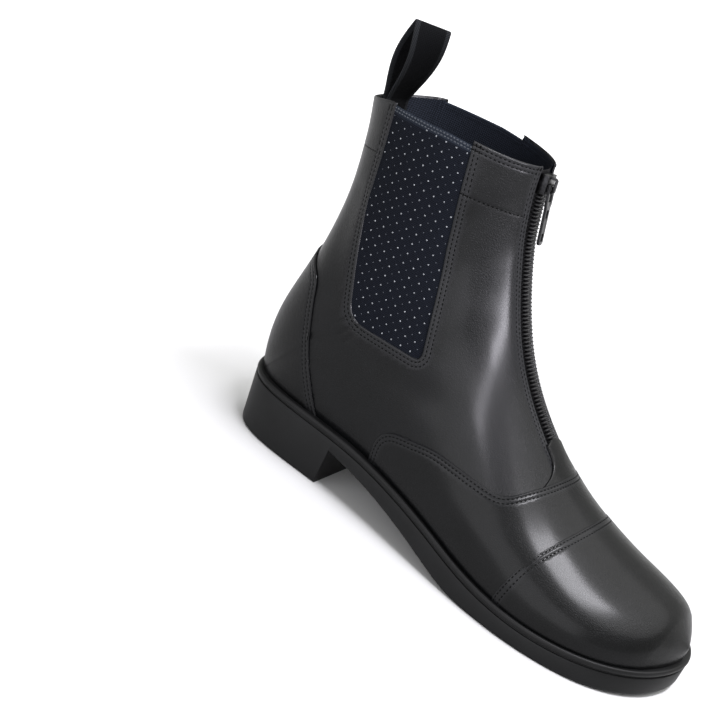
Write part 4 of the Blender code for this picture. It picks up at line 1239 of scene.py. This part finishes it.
def stitchTemplate(shape):
    bm = bmesh.new()
    half = shape["length"] / 2
    rings = []
    for x, scale in ((-half, 0.35), (-half * 0.7, 0.9), (0.0, 1.0), (half * 0.7, 0.9), (half, 0.35)):
        ring = []
        for angle in np.linspace(0.0, 2 * math.pi, 6, endpoint=False):
            z = scale * shape["proud"] * math.sin(angle) - (0.22 if abs(x) == half else 0.0)
            ring.append(bm.verts.new(Vector((x, scale * shape["wide"] / 2 * math.cos(angle), z)) * mm))
        rings.append(ring)
    for here, after in zip(rings, rings[1:]):
        for k in range(6):
            bm.faces.new((here[k], here[(k + 1) % 6], after[(k + 1) % 6], after[k]))
    bm.faces.new(rings[0])
    bm.faces.new(rings[-1])
    return templateObject("stitchTemplate", bm)


def threadMaterial(name, dark, light, shine=0.3):
    material, tree, shader = startMaterial(name)
    twist = noiseNode(tree, objectVector(tree), 2500.0, 1.0)
    paint(tree, shader, twist, 0.35, 0.65, dark, light)
    setSockets(shader, {"Roughness": 0.85, "Specular IOR Level": shine})
    bumpInto(tree, shader, twist, 0.4, 0.0001)
    return material


blackThread = threadMaterial("blackThread", (0.0006, 0.0006, 0.0006), (0.0014, 0.0014, 0.0014), 0.06)
hemThread = threadMaterial("hemThread", (0.026, 0.029, 0.036), (0.066, 0.072, 0.082), 0.2)
stitchKinds = {
    "dark": ("upper", stitchShape["pitch"], blackThread),
    "pale": ("gusset", stitchShape["hemPitch"], hemThread),
}
stitchPiece = stitchTemplate(stitchShape)
for kind, (slotName, pitch, thread) in stitchKinds.items():
    points, outs, edges = (np.concatenate(stitchRuns[kind][key]) for key in ("points", "outs", "edges"))
    values = {"Template": stitchPiece, "Pitch": pitch * mm, "Finish": thread}
    sewn = runTree("stitches_" + kind, pathTree, points, edges.tolist(), {"out": outs}, values)
    ridePiece(sewn, slotName)
bpy.data.objects.remove(stitchPiece)
print("stitches sewn")

# zip teeth: two moulded teeth, one from each tape, repeated along the chain
toothShape = {"pitch": 2.0, "length": 0.84, "outer": 4.6, "past": 1.1, "low": -2.6, "top": 0.2, "bevel": 0.24}


def toothTemplate(shape):
    bm = bmesh.new()
    for side, start in ((-1.0, -shape["pitch"] / 2), (1.0, 0.0)):
        low, high = sorted((side * shape["outer"], -side * shape["past"]))
        x = start + (shape["pitch"] / 2 - shape["length"]) / 2
        roundedBlock(bm, (x, low, shape["low"]), (x + shape["length"], high, shape["top"]), shape["bevel"], 2)
    return templateObject("toothTemplate", bm)


def cloudedMaterial(name, scale, detail, tones, gloss, fixed):
    # moulded or plated, with tone and gloss that vary a little
    material, tree, shader = startMaterial(name)
    cloud = noiseNode(tree, objectVector(tree), scale, detail)
    paint(tree, shader, cloud, 0.3, 0.7, *tones)
    tree.links.new(spreadValue(tree, cloud, *gloss), shader.inputs["Roughness"])
    setSockets(shader, fixed)
    return material


sliderZ = {"top": 203.0, "length": 10.0}
sliderT = ridgeWhere(2, sliderZ["top"] - sliderZ["length"] / 2, 14.0, 28.0)
sliderAt, sliderDown, _ = ridgeFrame(sliderT)
chainEnd = sliderAt + sliderDown * (sliderZ["length"] / 2 + 0.4)
chainT = np.linspace(zipEndT + 0.1, ridgeWhere(2, chainEnd[2], 10.0, sliderT), 160)
points, _, outs = (np.array(column) for column in zip(*(ridgeFrame(t) for t in chainT)))
edges = [(k, k + 1) for k in range(len(points) - 1)]
tooth = toothTemplate(toothShape)
toothTones = (0.0030, 0.0030, 0.0030), (0.0070, 0.0070, 0.0075)
plastic = cloudedMaterial("toothPlastic", 700.0, 2.0, toothTones, (0.34, 0.48), {"Specular IOR Level": 0.2})
values = {"Template": tooth, "Pitch": toothShape["pitch"] * mm, "Finish": plastic}
ridePiece(runTree("zipTeeth", pathTree, points, edges, {"out": outs}, values, 40.0), "zip_teeth", "zip_teeth")
bpy.data.objects.remove(tooth)
print("zip chain made")

# pin dots of the elastic, on a lattice of the side view
dotShape = {
    "alongX": (18.0, 104.0), "stepX": 6.0, "alongZ": (90.0, 206.0), "stepZ": 5.5, "rayY": 80.0,
    "fromEdge": 1.0, "fromHem": 3.6, "radius": 0.52, "faint": 0.36, "proud": 0.18, "sunk": 0.1,
    "crown": 0.6, "sides": 8,
}


def dotTemplate(radius):
    bm = bmesh.new()
    sides, rings = dotShape["sides"], []
    for wide, z in ((radius, -dotShape["sunk"]), (dotShape["crown"] * radius, dotShape["proud"])):
        turns = np.linspace(0, 2 * math.pi, sides, endpoint=False)
        corners = [Vector((wide * math.cos(a), wide * math.sin(a), z)) * mm for a in turns]
        rings.append([bm.verts.new(corner) for corner in corners])
    rim, crown = rings
    for k in range(sides):
        bm.faces.new((rim[k - 1], rim[k], crown[k], crown[k - 1]))
    bm.faces.new(crown)
    return templateObject("dotTemplate", bm)


def latticeHits(shift):
    points, outs = [], []
    stepX, stepZ = dotShape["stepX"], dotShape["stepZ"]
    x, z = np.meshgrid(np.arange(*dotShape["alongX"], stepX), np.arange(*dotShape["alongZ"], stepZ))
    flat = np.column_stack([x.ravel() + shift * stepX / 2, 0 * x.ravel(), z.ravel() + shift * stepZ / 2])
    free = (gussetField(flat) >= dotShape["fromEdge"]) & (belowHem(flat) >= dotShape["fromHem"])
    bpy.context.evaluated_depsgraph_get()  # brings the panels up to date for the rays
    for side, panel in zip((-1.0, 1.0), gussetPanels):
        for spot in flat[free]:
            start = Vector(inRow(spot + (0.0, side * dotShape["rayY"], 0.0)))
            hit, where, normal, _ = panel.ray_cast(start, Vector((0.0, -side, 0.0)))
            if hit:
                points.append(np.array(where) / mm + rowOrigin)
                outs.append(np.array(normal))
    return np.array(points), np.array(outs)


dotThreads = {
    "pinDots": (0.0, dotShape["radius"], ((0.05, 0.054, 0.058), (0.15, 0.158, 0.165))),
    "faintDots": (1.0, dotShape["faint"], ((0.014, 0.016, 0.020), (0.034, 0.038, 0.045))),
}
for name, (shift, radius, tones) in dotThreads.items():
    dot = dotTemplate(radius)
    points, outs = latticeHits(shift)
    values = {"Template": dot, "Pitch": 0.0, "Finish": threadMaterial(name + "Thread", *tones)}
    along = np.tile((0.0, 0.0, 1.0), (len(points), 1))
    ridePiece(runTree(name, pointTree, points, [], {"out": outs, "along": along}, values), "gusset")
    bpy.data.objects.remove(dot)
print("pin dots made")


# slider and pull tab: the frame's solids with rounded edges and dark plating
def joinFlats(bm):
    bmesh.ops.remove_doubles(bm, verts=bm.verts, dist=1e-6)
    bmesh.ops.dissolve_limit(bm, angle_limit=math.radians(1.0), verts=bm.verts, edges=bm.edges)


def roundedCopy(name, node, bevel, material):
    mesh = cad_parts[node].data.copy()
    mesh.name = name
    mesh.materials.clear()
    mesh.materials.append(material)
    editMesh(mesh, joinFlats)
    obj = linkObject(name, mesh)
    rounding = obj.modifiers.new("rounding", "BEVEL")
    rounding.width, rounding.segments = bevel * mm, 3
    rounding.limit_method, rounding.angle_limit = "ANGLE", math.radians(30.0)
    return settle(obj, 40.0)


platingTones = (0.014, 0.014, 0.015), (0.034, 0.034, 0.036)
plating = cloudedMaterial("darkPlating", 600.0, 3.0, platingTones, (0.26, 0.4), {"Metallic": 1.0})
ridePiece(roundedCopy("zipSlider", "zip_slider", 0.35, plating), "zip_metal", "zip_slider")
ridePiece(roundedCopy("pullTab", "zip_pull_tab", 0.2, plating), "zip_metal", "zip_pull_tab", body="pull_tab")
print("slider and tab made")

# camera, floor and light
cameraSettings = {
    "focal": 1778.3, "frame": 720.0, "place": (391.9, -827.0, 424.5),
    "forward": (-0.3517, 0.8568, -0.3772), "right": (0.7804, 0.4909, 0.3873), "up": (-0.5170, 0.1581, 0.8412),
}


def makeCamera(setting):
    data = bpy.data.cameras.new("photoCamera")
    data.sensor_width = 36.0
    data.lens = setting["focal"] / setting["frame"] * data.sensor_width
    data.clip_end = 50.0
    camera = linkObject("photoCamera", data)
    axes = Matrix((setting["right"], setting["up"], -Vector(setting["forward"]))).transposed()
    camera.matrix_world = Matrix.Translation(inRow(setting["place"])) @ axes.to_4x4()
    bpy.context.scene.camera = camera


def makeFloor(half):
    bm = bmesh.new()
    bmesh.ops.create_grid(bm, x_segments=4, y_segments=4, size=half)
    mesh = bpy.data.meshes.new("floor")
    bm.to_mesh(mesh)
    bm.free()
    material, tree, shader = startMaterial("paleFloor")
    away = addNode(tree, "ShaderNodeVectorMath", {"operation": "LENGTH"}, i0=objectVector(tree))
    # darker near the boot, where the lights are strong, so that the picture is evenly white
    paint(tree, shader, away.outputs["Value"], 0.3, 1.0, (0.46, 0.46, 0.46), (0.7, 0.7, 0.7))
    setSockets(shader, {"Roughness": 0.9, "Specular IOR Level": 0.1})
    mesh.materials.append(material)
    linkObject("floor", mesh)


lightCentre = Vector((0.02, 0.0, 0.08))


def makeLight(name, kind, direction, along, distance, energy, lit=(), **values):
    # along is the direction of the light's long side; lit names the pieces that it falls on, or all
    data = bpy.data.lights.new(name, kind)
    data.energy = energy
    for key, value in values.items():
        setattr(data, key, value)
    light = linkObject(name, data)
    out, side = Vector(direction).normalized(), Vector(along)
    side = (side - out * side.dot(out)).normalized()
    axes = Matrix((side, out.cross(side), out)).transposed()
    light.matrix_world = Matrix.Translation(lightCentre + out * distance) @ axes.to_4x4()
    if lit:
        group = bpy.data.collections.new(name + "Lit")
        for piece in lit:
            group.objects.link(bpy.data.objects[piece])
        light.light_linking.receiver_collection = group


makeCamera(cameraSettings)
makeFloor(30.0)
makeLight("skySun", "SUN", (0.28, 0.2, 0.92), (1.0, 0.0, 0.0), 2.0, 2.8, angle=math.radians(70.0))
makeLight("overheadStrip", "AREA", (0.237, -0.155, 0.959), (0.23, 0.97, 0.11), 2.6, 94.0,
          shape="RECTANGLE", size=1.25, size_y=0.24, color=(0.95, 0.94, 1.0))
shaftPieces = ("quarters", "elastic_lateral", "elastic_medial", "pinDots", "faintDots",
               "zipTape", "zipTeeth", "zipSlider", "pullTab")
makeLight("windowStrip", "AREA", (0.863, -0.283, 0.418), (0.5, 0.85, -0.15), 3.0, 190.0,
          lit=shaftPieces, shape="RECTANGLE", size=2.0, size_y=0.3, color=(0.94, 0.92, 1.0))
makeLight("windowSide", "AREA", (0.43, -0.742, 0.515), (0.866, 0.5, 0.0), 3.0, 80.0,
          lit=shaftPieces, shape="RECTANGLE", size=2.1, size_y=0.3, color=(0.94, 0.92, 1.0))
makeLight("roomFill", "AREA", (-0.10, -0.94, 0.31), (1.0, 0.0, 0.0), 3.0, 72.0,
          shape="RECTANGLE", size=3.4, size_y=2.0, color=(0.96, 0.96, 1.0))
world = bpy.data.worlds.new("studio")
bpy.context.scene.world = world
world.use_nodes = True
setSockets(world.node_tree.nodes["Background"], {"Color": (1.0, 1.0, 0.97, 1.0), "Strength": 0.7})
bpy.context.scene.view_settings.view_transform = "Standard"
